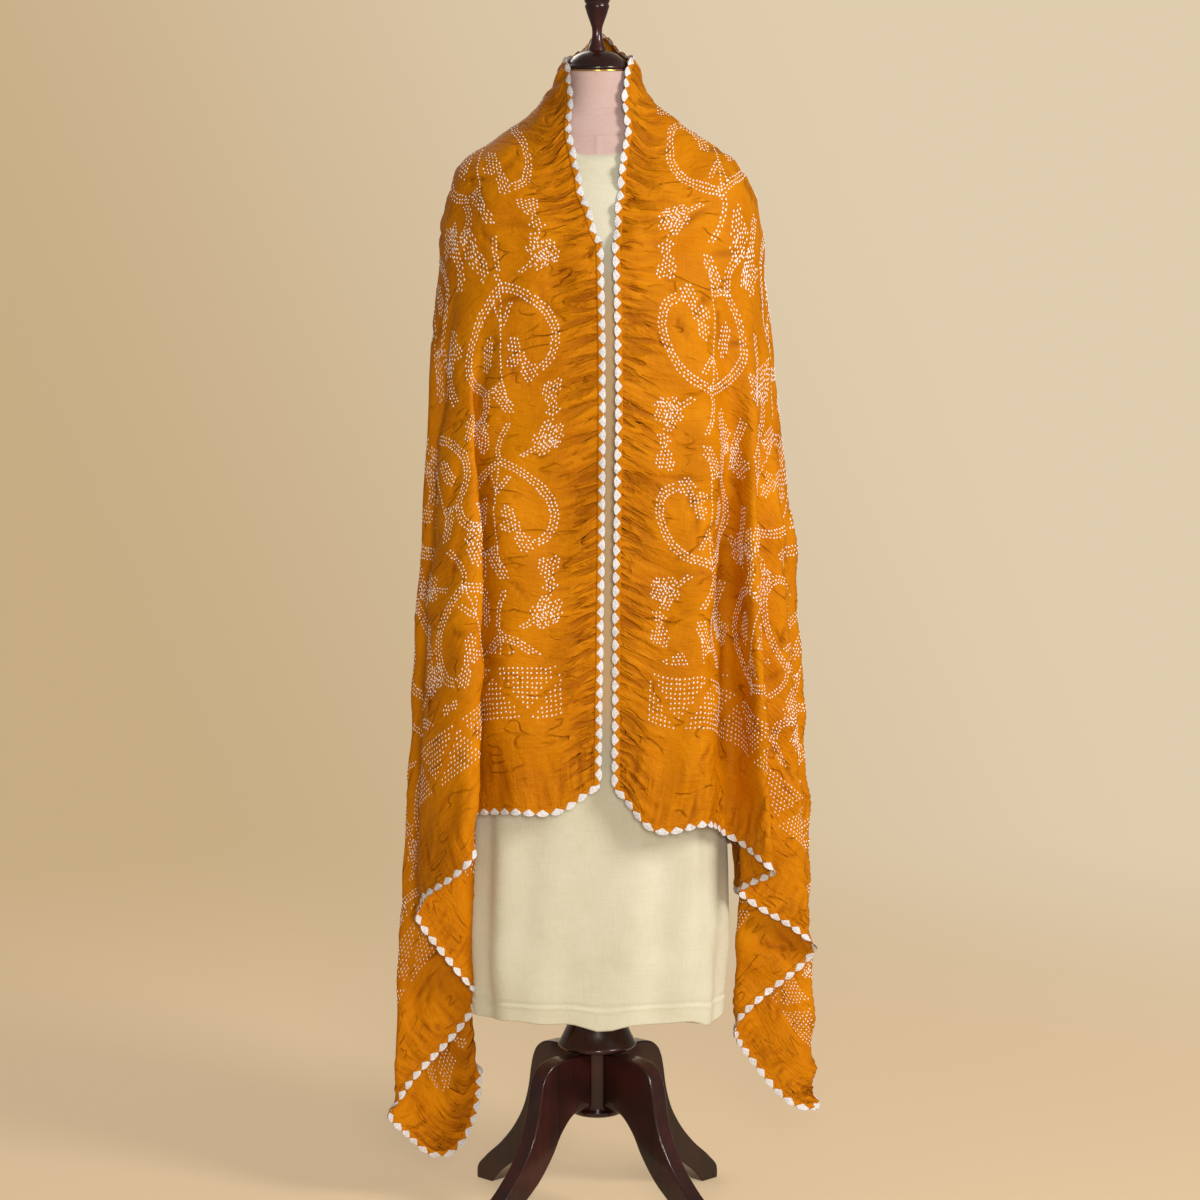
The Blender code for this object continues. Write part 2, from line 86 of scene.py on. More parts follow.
def add_node(tree, kind, inputs=(), **settings):
    """Adds a node with its settings; each input is given a value or linked to another node's output."""
    piece = tree.nodes.new(kind)
    for name, value in settings.items():
        setattr(piece, name, value)
    for name, value in dict(inputs).items():
        if isinstance(value, bpy.types.NodeSocket):
            tree.links.new(value, piece.inputs[name])
        else:
            piece.inputs[name].default_value = value
    return piece


def new_finish(name):
    """A new material with its node tree and its Principled shader."""
    finish = bpy.data.materials.new(name)
    finish.use_nodes = True
    return finish, finish.node_tree, finish.node_tree.nodes["Principled BSDF"]


def new_object(name, data):
    """A new object with the data given, put into the scene."""
    piece = bpy.data.objects.new(name, data)
    bpy.context.scene.collection.objects.link(piece)
    return piece


def meshed(name, points, faces, finish):
    """One piece in one finish, from its points and the numbers of each face's corners."""
    mesh = bpy.data.meshes.new(name)
    mesh.from_pydata(points, [], faces)
    mesh.materials.append(finish)
    return new_object(name, mesh)


def surface(name, grids, finish, closed=(False, False)):
    """One smooth piece from grids of points: each cell is a quad, and a closed direction joins its ends."""
    points, quads, count = [], [], 0
    for grid in grids:
        rows, columns = grid.shape[:2]
        number = np.arange(rows * columns).reshape(rows, columns) + count
        if closed[0]:
            number = np.concatenate([number, number[:1]])
        if closed[1]:
            number = np.concatenate([number, number[:, :1]], axis=1)
        corners = (number[:-1, :-1], number[:-1, 1:], number[1:, 1:], number[1:, :-1])
        quads.append(np.stack(corners, axis=-1).reshape(-1, 4))
        points.append(grid.reshape(-1, 3))
        count += rows * columns
    piece = meshed(name, np.vstack(points), np.vstack(quads), finish)
    piece.data.shade_smooth()
    return piece


def fit_out(piece, slot, *nodes):
    """Makes a piece ride with the object and stand for the nodes that it replaces; slot is not used."""
    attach(piece, "root")
    if nodes:
        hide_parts(*nodes)


camera = new_object("camera", bpy.data.cameras.new("camera"))
camera.data.sensor_width = SENSOR_WIDTH
camera.data.lens = FOCAL_LENGTH
camera.location = CAMERA_PLACE
camera.rotation_euler = (math.pi / 2 - CAMERA_PITCH, 0.0, 0.0)
bpy.context.scene.camera = camera

for lamp in LAMPS:
    light = new_object(lamp.name, bpy.data.lights.new(lamp.name, "AREA"))
    light.data.shape = "RECTANGLE"
    light.data.size, light.data.size_y = lamp.width, lamp.height
    light.data.energy = lamp.watts
    light.data.color = linear(lamp.colour)[:3]
    light.location = AXIS + lamp.place
    towards = bpy.context.scene.cursor.location.copy()
    towards[:] = LIGHT_AIM - np.array(light.location)
    light.rotation_euler = towards.to_track_quat("-Z", "Y").to_euler()

world = bpy.data.worlds.new("studio air")
world.use_nodes = True
world.node_tree.nodes["Background"].inputs["Color"].default_value = linear(AIR_COLOUR)
world.node_tree.nodes["Background"].inputs["Strength"].default_value = AIR_STRENGTH
bpy.context.scene.world = world
bpy.context.scene.view_settings.view_transform = "Standard"

# A wall that glows with painted light instead of being lit, growing lighter to the upper right, with no gloss
# and no grain. Its sides fade out, so that no edge shows from a slant.
glow, tree, shader = new_finish("lit sand backdrop")
shader.inputs["Base Color"].default_value = linear("#000000")
shader.inputs["Specular IOR Level"].default_value = 0.0
shader.inputs["Emission Strength"].default_value = 1.0
where = add_node(tree, "ShaderNodeTexCoord")
slant = add_node(tree, "ShaderNodeVectorMath", {
    0: where.outputs["Object"], 1: BACKDROP_SLANT}, operation="DOT_PRODUCT")
spread = add_node(tree, "ShaderNodeMapRange", {
    "Value": slant.outputs["Value"], "From Min": BACKDROP_SPREAD[0], "From Max": BACKDROP_SPREAD[1]},
    interpolation_type="SMOOTHSTEP")
colour = add_node(tree, "ShaderNodeMix", {
    0: spread.outputs["Result"], 6: linear(BACKDROP_SHADE), 7: linear(BACKDROP_LIT)}, data_type="RGBA")
tree.links.new(colour.outputs[2], shader.inputs["Emission Color"])
aside = add_node(tree, "ShaderNodeVectorMath", {
    0: where.outputs["Object"], 1: (1.0, 0.0, 0.0)}, operation="MULTIPLY")
reach = add_node(tree, "ShaderNodeVectorMath", {0: aside.outputs["Vector"]}, operation="LENGTH")
fade = add_node(tree, "ShaderNodeMapRange", {
    "Value": reach.outputs["Value"], "From Min": BACKDROP_FADE[0], "From Max": BACKDROP_FADE[1],
    "To Min": 1.0, "To Max": 0.0}, interpolation_type="SMOOTHSTEP")
tree.links.new(fade.outputs["Result"], shader.inputs["Alpha"])
sides, heights = (np.linspace(*ends, BACKDROP_STEPS) for ends in (BACKDROP_SIDES, BACKDROP_HEIGHTS))
across, up = np.meshgrid(sides, heights, indexing="ij")
upright = np.stack([across, np.full(across.shape, BACKDROP_PLACE), up], axis=-1)
surface("backdrop", [upright], glow)

# Matt background paper: it has almost no gloss, takes the object's soft shadow and is lit like the backdrop.
paper, tree, shader = new_finish("matt sand paper")
shader.inputs["Base Color"].default_value = linear(FLOOR_PAPER)
shader.inputs["Roughness"].default_value = 0.9
shader.inputs["Specular IOR Level"].default_value = 0.1
shader.inputs["Emission Color"].default_value = linear(FLOOR_LIT)
shader.inputs["Emission Strength"].default_value = FLOOR_GLOW
where = add_node(tree, "ShaderNodeTexCoord")
reach = add_node(tree, "ShaderNodeVectorMath", {0: where.outputs["Object"]}, operation="LENGTH")
fade = add_node(tree, "ShaderNodeMapRange", {
    "Value": reach.outputs["Value"], "From Min": FLOOR_FADE[0], "From Max": FLOOR_FADE[1],
    "To Min": 1.0, "To Max": 0.0}, interpolation_type="SMOOTHSTEP")
tree.links.new(fade.outputs["Result"], shader.inputs["Alpha"])
radius = np.linspace(0.0, FLOOR_RADIUS, FLOOR_RINGS)[:, None]
turn = np.linspace(0.0, 2 * math.pi, FLOOR_SPOKES, endpoint=False)[None, :]
ground_level = np.zeros((FLOOR_RINGS, FLOOR_SPOKES))
level = np.stack([radius * np.cos(turn), radius * np.sin(turn), ground_level], axis=-1)
surface("floor", [level], paper, closed=(False, True))


# Shawl. One loom-width length of thin crinkled cloth, tied in small points, dyed mustard and hung round the
# neck. It is described by rays: each leaves the neckline, runs over the shoulder and falls to the boundary,
# and each fold has one ray in a table. The same tables shape the shawl's solid.
YOKE_STEPS = 7
CURVE_SAMPLES = 200
RAY_STEPS = 120
MID_HEIGHT = 0.85
RIGHT_SPREAD = 1.055
OPENING_TURN = 3.8
TURN_ROUNDNESS = 0.75

# The shoulders as the cloth lies on them. A ring runs round the neck; "fall" goes from the collar's top to
# the yoke. side, front and back are how far the ring is from the axis there, with its height, and inset is
# how far the form's own surface lies inside it.
Ring = namedtuple("Ring", "fall side side_z front front_z back back_z inset")
SHOULDER = (
    Ring(-0.35, 0.056, 1.621, 0.056, 1.594, 0.062, 1.649, 0.006),
    Ring(0.00, 0.069, 1.578, 0.076, 1.535, 0.078, 1.560, 0.006),
    Ring(0.25, 0.122, 1.532, 0.102, 1.466, 0.102, 1.495, 0.006),
    Ring(0.50, 0.176, 1.499, 0.119, 1.422, 0.114, 1.445, 0.007),
    Ring(0.70, 0.204, 1.452, 0.128, 1.387, 0.121, 1.402, 0.013),
    Ring(1.00, 0.220, 1.330, 0.134, 1.330, 0.128, 1.330, 0.022),
)

# The neckline of the shawl on those rings, from the bottom of the V to the back of the neck.
# turn is the angle from the front, in degrees.
Neckline = namedtuple("Neckline", "turn fall")
NECKLINE = (
    Neckline(4.1, 0.73),
    Neckline(6.6, 0.57),
    Neckline(13.0, 0.33),
    Neckline(21.0, 0.17),
    Neckline(36.5, 0.03),
    Neckline(44.0, -0.12),
    Neckline(53.0, -0.26),
    Neckline(68.0, -0.34),
    Neckline(90.0, -0.35),
    Neckline(135.0, -0.35),
    Neckline(180.0, -0.35),
)

# One row for each fold. neck is its start as a share of the neckline, turn its place on the yoke ring,
# mid its place at mid height, and end the place and height where it meets the shawl's boundary.
Fold = namedtuple("Fold", "name neck turn mid_x mid_y end_x end_y end_z")
LEFT_FOLDS = (
    Fold("front edge", 0.000, 0.0, -0.001, -0.134, -0.004, -0.133, 0.645),
    Fold("front middle", 0.160, 17.0, -0.057, -0.139, -0.059, -0.141, 0.611),
    Fold("front turn", 0.300, 34.5, -0.119, -0.136, -0.113, -0.139, 0.612),
    Fold("recess", 0.370, 38.5, -0.194, -0.084, -0.194, -0.086, 0.590),
    Fold("second ridge", 0.430, 44.5, -0.157, -0.149, -0.167, -0.149, 0.559),
    Fold("second middle", 0.490, 50.0, -0.201, -0.138, -0.213, -0.137, 0.511),
    Fold("second turn", 0.550, 57.0, -0.232, -0.098, -0.248, -0.093, 0.476),
    Fold("inner turn", 0.600, 65.0, -0.171, -0.061, -0.179, -0.054, 0.348),
    Fold("outer turn", 0.660, 77.0, -0.251, -0.012, -0.279, -0.004, 0.127),
    Fold("low corner", 0.700, 89.0, -0.222, 0.020, -0.229, 0.022, 0.079),
    Fold("tail turn", 0.735, 98.0, -0.198, 0.043, -0.199, 0.052, 0.270),
    Fold("side ridge", 0.775, 109.0, -0.246, 0.062, -0.262, 0.072, 0.375),
    Fold("side valley", 0.815, 120.0, -0.195, 0.085, -0.196, 0.088, 0.440),
    Fold("back ridge", 0.855, 132.0, -0.190, 0.144, -0.212, 0.176, 0.490),
    Fold("back valley", 0.895, 144.0, -0.133, 0.115, -0.130, 0.110, 0.535),
    Fold("inner back ridge", 0.932, 156.0, -0.097, 0.157, -0.106, 0.188, 0.575),
    Fold("inner back valley", 0.966, 168.0, -0.050, 0.127, -0.048, 0.120, 0.605),
)
BACK_CENTRE = Fold("back centre", 1.000, 180.0, 0.000, 0.150, 0.000, 0.172, 0.625)
RIGHT_FOLDS = (
    Fold("front edge", 0.000, 7.9, 0.031, -0.134, 0.030, -0.133, 0.640),
    Fold("front middle", 0.160, 21.0, 0.087, -0.139, 0.084, -0.142, 0.586),
    Fold("front turn", 0.300, 36.0, 0.149, -0.137, 0.151, -0.140, 0.595),
    Fold("recess", 0.370, 44.0, 0.178, -0.068, 0.184, -0.074, 0.566),
    Fold("second ridge", 0.440, 55.0, 0.222, -0.127, 0.239, -0.118, 0.532),
    Fold("second turn", 0.520, 63.0, 0.207, -0.064, 0.202, -0.058, 0.485),
    Fold("outer ridge", 0.600, 73.0, 0.263, -0.046, 0.297, -0.036, 0.412),
    Fold("inner turn", 0.655, 81.0, 0.214, -0.006, 0.197, 0.002, 0.265),
    Fold("low corner", 0.700, 90.0, 0.283, 0.020, 0.305, 0.026, 0.148),
    Fold("tail turn", 0.745, 101.0, 0.225, 0.045, 0.214, 0.055, 0.330),
    Fold("side ridge", 0.785, 111.0, 0.268, 0.070, 0.285, 0.084, 0.400),
    Fold("side valley", 0.820, 121.0, 0.205, 0.088, 0.200, 0.090, 0.450),
    Fold("back ridge", 0.857, 132.0, 0.196, 0.145, 0.214, 0.177, 0.495),
    Fold("back valley", 0.895, 144.0, 0.138, 0.115, 0.134, 0.110, 0.540),
    Fold("inner back ridge", 0.932, 156.0, 0.099, 0.157, 0.107, 0.188, 0.580),
    Fold("inner back valley", 0.966, 168.0, 0.050, 0.127, 0.048, 0.120, 0.607),
)


def slopes(keys, values):
    """Slope of a smooth curve at each key: both neighbouring chords' slopes, the nearer one counting more."""
    step = np.diff(keys, axis=0)
    chord = np.diff(values, axis=0) / step
    inner = (chord[:-1] * step[1:] + chord[1:] * step[:-1]) / (step[:-1] + step[1:])
    return np.concatenate([chord[:1], inner, chord[-1:]])


def hermite(share, step, start, end, slope_in, slope_out):
    """Cubic from start to end over step, at a share of it, with the slopes it has at both ends."""
    blend = share * share * (3 - 2 * share)
    rise_in = share * (1 - share) ** 2 * step
    rise_out = -share * share * (1 - share) * step
    return start + (end - start) * blend + slope_in * rise_in + slope_out * rise_out


def curve_at(keys, values, at):
    """Values at any places on the smooth curve through rows of values at rising keys."""
    keys, values = np.asarray(keys, float), np.asarray(values, float)
    slope = slopes(keys[:, None], values)
    left = np.clip(np.searchsorted(keys, at, side="right") - 1, 0, len(keys) - 2)
    step = (keys[left + 1] - keys[left])[:, None]
    share = (np.asarray(at) - keys[left])[:, None] / step
    return hermite(share, step, values[left], values[left + 1], slope[left], slope[left + 1])


def lengths_along(points):
    """Distance from the first point along a line of points."""
    return np.concatenate([[0.0], np.cumsum(np.linalg.norm(np.diff(points, axis=0), axis=1))])


def shoulder_points(turn, fall, side, inset=False):
    """Points on the shoulders at angles from the front and falls from the neck; side is -1 left, 1 right.

    x is the ring's side reach times the sine of the angle, y its front or back reach times minus the cosine,
    and the height goes from the front's or back's to the side's with the sine squared.
    """
    turn, fall = np.radians(np.atleast_1d(turn)), np.atleast_1d(fall)
    ring = curve_at([row.fall for row in SHOULDER], [row[1:] for row in SHOULDER], fall)
    width, side_z, front, front_z, back, back_z, inward = ring.T
    inward = inward if inset else np.zeros_like(inward)
    ahead = np.cos(turn) > 0
    depth = np.where(ahead, front, back) - inward
    end_z = np.where(ahead, front_z, back_z)
    spread = RIGHT_SPREAD if side > 0 and not inset else 1.0
    x = side * (width * spread - inward) * np.sin(turn)
    y = -depth * np.cos(turn)
    z = side_z * np.sin(turn) ** 2 + end_z * np.cos(turn) ** 2 - inward
    return np.stack([x, y, z], axis=1)


def neckline_at(share, side):
    """Turn and fall of the neckline at a share of its length; it opens a little right of the axis."""
    rows = np.array(NECKLINE)
    along = lengths_along(shoulder_points(rows[:, 0], rows[:, 1], side))
    turn, fall = curve_at(along / along[-1], rows, [share])[0]
    opening = OPENING_TURN * max(fall, 0.0) / NECKLINE[0].fall
    return turn + side * opening, fall


def ray(fold, side):
    """A fold's line from the neckline over the yoke to the boundary, in equal steps."""
    neck_turn, neck_fall = neckline_at(fold.neck, side)
    down = np.linspace(0.0, 1.0, YOKE_STEPS)
    turns = neck_turn + (fold.turn - neck_turn) * down
    upper = shoulder_points(turns, neck_fall + (1 - neck_fall) * down, side)
    middle = (fold.mid_x, fold.mid_y, MID_HEIGHT)
    end = (fold.end_x, fold.end_y, fold.end_z)
    keys = np.vstack([upper, middle, end])
    along = lengths_along(keys)
    fine = curve_at(along, keys, np.linspace(0.0, along[-1], CURVE_SAMPLES))
    along = lengths_along(fine)
    steps = np.linspace(0.0, along[-1], RAY_STEPS + 1)
    return np.stack([np.interp(steps, along, fine[:, axis]) for axis in range(3)], axis=1)


# Driving sizes of the cloth as it hangs: its width between the long edges, the thread spacing of the mesh,
# and how finely the surface is flattened to find where each thread lies.
CLOTH_WIDTH = 1.040
LENGTH_STEP = 0.0040
WIDTH_STEP = 0.0061
FOLD_PARTS = 3
MAP_ROWS = 30
COTANGENT_RANGE = (0.05, 20.0)
SEARCH_PARTS = 24
SOLVE_STEPS, SOLVE_SHARE = 40, 0.8

rays = [ray(fold, -1) for fold in LEFT_FOLDS]
rays.append(ray(BACK_CENTRE, -1))
rays += [ray(fold, 1) for fold in reversed(RIGHT_FOLDS)]
RAYS = np.array(rays)
GAPS = np.linalg.norm(np.diff(RAYS, axis=0), axis=2, keepdims=True)
SLOPES = slopes(np.concatenate([np.zeros_like(GAPS[:1]), np.cumsum(GAPS, axis=0)]), RAYS)
PLAN_SPEED = np.linalg.norm(SLOPES[:, :, :2], axis=2, keepdims=True)
SLOPES[:, :, :2] *= TURN_ROUNDNESS / PLAN_SPEED + 1 - TURN_ROUNDNESS


def on_folds(place, down):
    """Points of the hung sheet: place counts folds from the left front edge, down is the share of the ray.

    Between two rays the sheet is the cubic that leaves each of them with its slope across the folds.
    """
    place, down = np.broadcast_arrays(np.asarray(place, float), np.asarray(down, float))
    fold = np.clip(place.astype(int), 0, len(RAYS) - 2)
    step = np.clip((down * RAY_STEPS).astype(int), 0, RAY_STEPS - 1)
    part = (down * RAY_STEPS - step)[..., None]

    def at(values, index):
        return values[index, step] * (1 - part) + values[index, step + 1] * part

    ends = at(RAYS, fold), at(RAYS, fold + 1)
    return hermite((place - fold)[..., None], at(GAPS, fold), *ends, at(SLOPES, fold), at(SLOPES, fold + 1))


def flat_map():
    """Length and width places on the flat cloth for a grid of places on the hung one.

    The boundary goes to the cloth's four edges by its length, and inside, each point is the average of its
    neighbours with cotangent weights, which is the smoothest flattening. Length counts from the back's
    middle, positive to the left, and width from the neckline's edge.
    """
    columns = (len(RAYS) - 1) * FOLD_PARTS + 1
    places = np.linspace(0, len(RAYS) - 1, columns)
    points = on_folds(places[:, None], np.linspace(0, 1, MAP_ROWS + 1)[None, :])
    middle = len(LEFT_FOLDS) * FOLD_PARTS
    left_corner = [fold.name for fold in LEFT_FOLDS].index("low corner") * FOLD_PARTS
    right_corner = columns - 1 - [fold.name for fold in RIGHT_FOLDS].index("low corner") * FOLD_PARTS
    neckline, lower = lengths_along(points[:, 0]), lengths_along(points[:, -1])
    left_front, right_front = lengths_along(points[0]), lengths_along(points[-1])
    length, width = np.zeros(points.shape[:2]), np.zeros(points.shape[:2])
    length[:, 0] = neckline[middle] - neckline
    length[0] = length[0, 0] + left_front
    length[-1] = length[-1, 0] - right_front
    corners = (0.0, lower[left_corner], lower[right_corner], lower[-1])
    length[:, -1] = np.interp(lower, corners[1:3], (length[0, -1], length[-1, -1]))
    width[:, -1] = np.interp(lower, corners, (0.0, CLOTH_WIDTH, CLOTH_WIDTH, 0.0))
    number = np.arange(length.size).reshape(length.shape)
    a, b, c, d = number[:-1, :-1], number[:-1, 1:], number[1:, 1:], number[1:, :-1]
    halves = (a, b, c), (a, c, d), (a, b, d), (b, c, d)
    triangles = np.vstack([np.stack(half, axis=-1).reshape(-1, 3) for half in halves])
    flat = points.reshape(-1, 3)
    weights = np.zeros((length.size, length.size))
    for corner in range(3):
        here, one, other = (triangles[:, (corner + k) % 3] for k in range(3))
        to_one, to_other = flat[one] - flat[here], flat[other] - flat[here]
        twice_area = np.linalg.norm(np.cross(to_one, to_other), axis=1)
        cotangent = np.sum(to_one * to_other, axis=1) / np.maximum(twice_area, 1e-9)
        cotangent = np.clip(cotangent, *COTANGENT_RANGE)
        np.add.at(weights, (one, other), -cotangent)
        np.add.at(weights, (other, one), -cotangent)
        np.add.at(weights, (one, one), cotangent)
        np.add.at(weights, (other, other), cotangent)
    inside = number[1:-1, 1:-1].ravel()
    rim = np.setdiff1d(number, inside)
    known = np.stack([length.ravel()[rim], width.ravel()[rim]], axis=1)
    found = np.linalg.solve(weights[np.ix_(inside, inside)], -weights[np.ix_(inside, rim)] @ known)
    length.ravel()[inside], width.ravel()[inside] = found.T
    return length, width


def between(values, x, y):
    """A value between four grid values, and how it changes with x and with y."""
    i = np.clip(x.astype(int), 0, values.shape[0] - 2)
    j = np.clip(y.astype(int), 0, values.shape[1] - 2)
    shape = x.shape + (1,) * (values.ndim - 2)
    x, y = (x - i).reshape(shape), (y - j).reshape(shape)
    a, b, c, d = values[i, j], values[i, j + 1], values[i + 1, j], values[i + 1, j + 1]
    value = (a * (1 - x) + c * x) * (1 - y) + (b * (1 - x) + d * x) * y
    return value, (c - a) * (1 - y) + (d - b) * y, (b - a) * (1 - x) + (d - c) * x


def threads():
    """The hung sheet on its own threads: a grid over its length and width.

    Each point starts at the nearest place of the flat map and goes to its true one by Newton's steps, and
    then the points of each crosswise thread are spaced evenly along it.
    """
    map_length, map_width = flat_map()
    ends = map_length[-1, -1], map_length[0, -1]
    length = np.linspace(*ends, round((ends[1] - ends[0]) / LENGTH_STEP) + 1)
    width = np.linspace(0.0, CLOTH_WIDTH, round(CLOTH_WIDTH / WIDTH_STEP) + 1)
    wanted = np.stack(np.meshgrid(length, width, indexing="ij"), axis=-1).reshape(-1, 2)
    known = np.stack([map_length.ravel(), map_width.ravel()], axis=1)
    nearest = [np.argmin((known ** 2).sum(axis=1) - 2 * part @ known.T, axis=1)
               for part in np.array_split(wanted, SEARCH_PARTS)]
    x, y = (index.astype(float) for index in np.divmod(np.concatenate(nearest), map_length.shape[1]))
    best, least = np.stack([x, y]), np.full(len(x), np.inf)
    for _ in range(SOLVE_STEPS):
        at_length, length_x, length_y = between(map_length, x, y)
        at_width, width_x, width_y = between(map_width, x, y)
        off_length, off_width = at_length - wanted[:, 0], at_width - wanted[:, 1]
        off = np.hypot(off_length, off_width)
        best = np.where(off < least, np.stack([x, y]), best)
        least = np.minimum(off, least)
        turning = length_x * width_y - length_y * width_x
        turning = np.where(np.abs(turning) < 1e-9, 1e-9, turning)
        step_x = (width_y * off_length - length_y * off_width) / turning
        step_y = (length_x * off_width - width_x * off_length) / turning
        x = np.clip(x - SOLVE_SHARE * np.clip(step_x, -1, 1), 0, map_length.shape[0] - 1)
        y = np.clip(y - SOLVE_SHARE * np.clip(step_y, -1, 1), 0, map_length.shape[1] - 1)
    places = (best / np.array([[FOLD_PARTS], [MAP_ROWS]])).reshape(2, len(length), len(width))
    along = np.linalg.norm(np.diff(on_folds(*places), axis=1), axis=2)
    along = np.concatenate([np.zeros((len(length), 1)), np.cumsum(along, axis=1)], axis=1)
    even = [np.interp(np.linspace(0, line[-1], len(width)), line, np.arange(len(width))) for line in along]
    row = np.repeat(np.arange(len(length), dtype=float)[:, None], len(width), axis=1)
    places = [between(place, row, np.array(even))[0] for place in places]
    return length, width, on_folds(*places) + AXIS


def unit(vectors):
    """Vectors of length one; one with no length stays as it is."""
    return vectors / np.maximum(np.linalg.norm(vectors, axis=-1, keepdims=True), 1e-12)


def facing(grid):
    """Outward normals of the sheet: width direction crossed with length direction, evened a little."""
    normals = unit(np.cross(np.gradient(grid, axis=1), np.gradient(grid, axis=0)))
    wide = np.pad(normals, ((1, 1), (1, 1), (0, 0)), mode="edge")
    beside = wide[:-2, 1:-1] + wide[2:, 1:-1] + wide[1:-1, :-2] + wide[1:-1, 2:]
    return unit(normals + beside / 4)


# Relief of the cloth, in metres out from its surface. The crochet draws the edges in, so short ripples run in
# from them; tying and drying leave short sharp creases all over, and the hung cloth has soft waves. Each
# ripple and crease is one row of a random table, and its section is a ridge with a trough at both sides.
Crease = namedtuple("Crease", "length width turn long across height bend")
GATHER_SPACING = (0.009, 0.017)
GATHER_REACH = (0.045, 0.085)
GATHER_WIDTH = (0.0040, 0.0056)
GATHER_HEIGHT = (0.0010, 0.0023)
GATHER_KINDS = (0.6, 1.0, 1.3)
GATHER_OVERLAP = 0.006
GATHER_ASKEW, GATHER_BEND = 0.09, 3.0
CREASE_COUNT = 760
CREASE_REACH = (0.022, 0.075)
CREASE_WIDTH = (0.0042, 0.0066)
CREASE_HEIGHT = (-0.0026, 0.0016)
CREASE_ASKEW, CREASE_BEND = 0.8, 7.0
EDGE_MARGIN, NECK_MARGIN = 0.03, 0.06
CURL_THREADS = 3
CURL_FROM, CURL_FULL = 1.585, 1.618
SIDE_CURL, BACK_CURL = 0.80, 1.25
CURL_LIFT, CURL_LIFT_REACH, CURL_NARROW = 0.015, 0.070, 0.52
SIDE_LIFT = 0.4
SOFT_WAVES = 34
SOFT_WAVE_LENGTH = (0.050, 0.170)
SOFT_WAVE_HEIGHT = 0.00042


def gathers_along(chance, start, stop, edge, inwards, lengthwise):
    """Ripples in from one edge: spaced unevenly along it, each a little askew and of its own reach."""
    spacing = np.mean(GATHER_SPACING)
    count = int(abs(stop - start) / spacing)
    along = start + (stop - start) * np.cumsum(chance.uniform(*GATHER_SPACING, count)) / (count * spacing)
    reach = chance.uniform(*GATHER_REACH, count) * chance.choice(GATHER_KINDS, count)
    into = edge + inwards * (reach / 2 - GATHER_OVERLAP)
    turn = (math.pi / 2 if lengthwise else 0.0) + chance.normal(0.0, GATHER_ASKEW, count)
    place = (along, into) if lengthwise else (into, along)
    across = chance.uniform(*GATHER_WIDTH, count)
    height = chance.uniform(*GATHER_HEIGHT, count)
    bend = chance.normal(0.0, GATHER_BEND, count)
    return [Crease(*row) for row in zip(*place, turn, reach, across, height, bend)]


def all_creases(length, width):
    """The table of the ripples in from the four edges, and of creases at random places and turns."""
    chance = np.random.default_rng(11)
    low, high = length[0], length[-1]
    creases = gathers_along(chance, low, high, 0.0, 1, True)
    creases += gathers_along(chance, low, high, CLOTH_WIDTH, -1, True)
    creases += gathers_along(chance, 0.0, CLOTH_WIDTH, low, 1, False)
    creases += gathers_along(chance, 0.0, CLOTH_WIDTH, high, -1, False)
    turn = chance.normal(0.0, CREASE_ASKEW, CREASE_COUNT) + math.pi / 2 * chance.integers(0, 2, CREASE_COUNT)
    columns = (
        chance.uniform(low + EDGE_MARGIN, high - EDGE_MARGIN, CREASE_COUNT),
        chance.uniform(NECK_MARGIN, CLOTH_WIDTH - EDGE_MARGIN, CREASE_COUNT),
        turn,
        chance.uniform(*CREASE_REACH, CREASE_COUNT),
        chance.uniform(*CREASE_WIDTH, CREASE_COUNT),
        chance.uniform(*CREASE_HEIGHT, CREASE_COUNT),
        chance.normal(0.0, CREASE_BEND, CREASE_COUNT),
    )
    return creases + [Crease(*row) for row in zip(*columns)]


def waves_of(length, width):
    """Height of the soft waves at every thread crossing: sines of random direction and length, added up."""
    chance = np.random.default_rng(5)
    s, t = np.meshgrid(length, width, indexing="ij")
    relief = np.zeros(s.shape)
    for _ in range(SOFT_WAVES):
        turn, phase = chance.uniform(0, 2 * math.pi, 2)
        count = 2 * math.pi / chance.uniform(*SOFT_WAVE_LENGTH)
        relief += SOFT_WAVE_HEIGHT * np.sin(count * (s * math.cos(turn) + t * math.sin(turn)) + phase)
    return relief


def creases_of(length, width):
    """Height of the creases at every thread crossing, each worked out in its own window.

    With u its distance across over its width, a crease's section is (1 - u^2) exp(-u^2 / 2). It eases out
    towards both ends with the cosine squared, and bends with the square of the distance along it.
    """
    s, t = np.meshgrid(length, width, indexing="ij")
    relief = np.zeros(s.shape)
    for crease in all_creases(length, width):
        half = crease.long / 2 + 2 * crease.across
        rows = slice(*np.searchsorted(length, (crease.length - half, crease.length + half)))
        columns = slice(*np.searchsorted(width, (crease.width - half, crease.width + half)))
        ahead, aside = s[rows, columns] - crease.length, t[rows, columns] - crease.width
        along = ahead * math.cos(crease.turn) + aside * math.sin(crease.turn)
        across = aside * math.cos(crease.turn) - ahead * math.sin(crease.turn) + crease.bend * along ** 2
        ends = np.cos(np.clip(along / half, -1, 1) * math.pi / 2) ** 2
        share = (across / crease.across) ** 2
        relief[rows, columns] += crease.height * ends * (1 - share) * np.exp(-share / 2)
    return relief


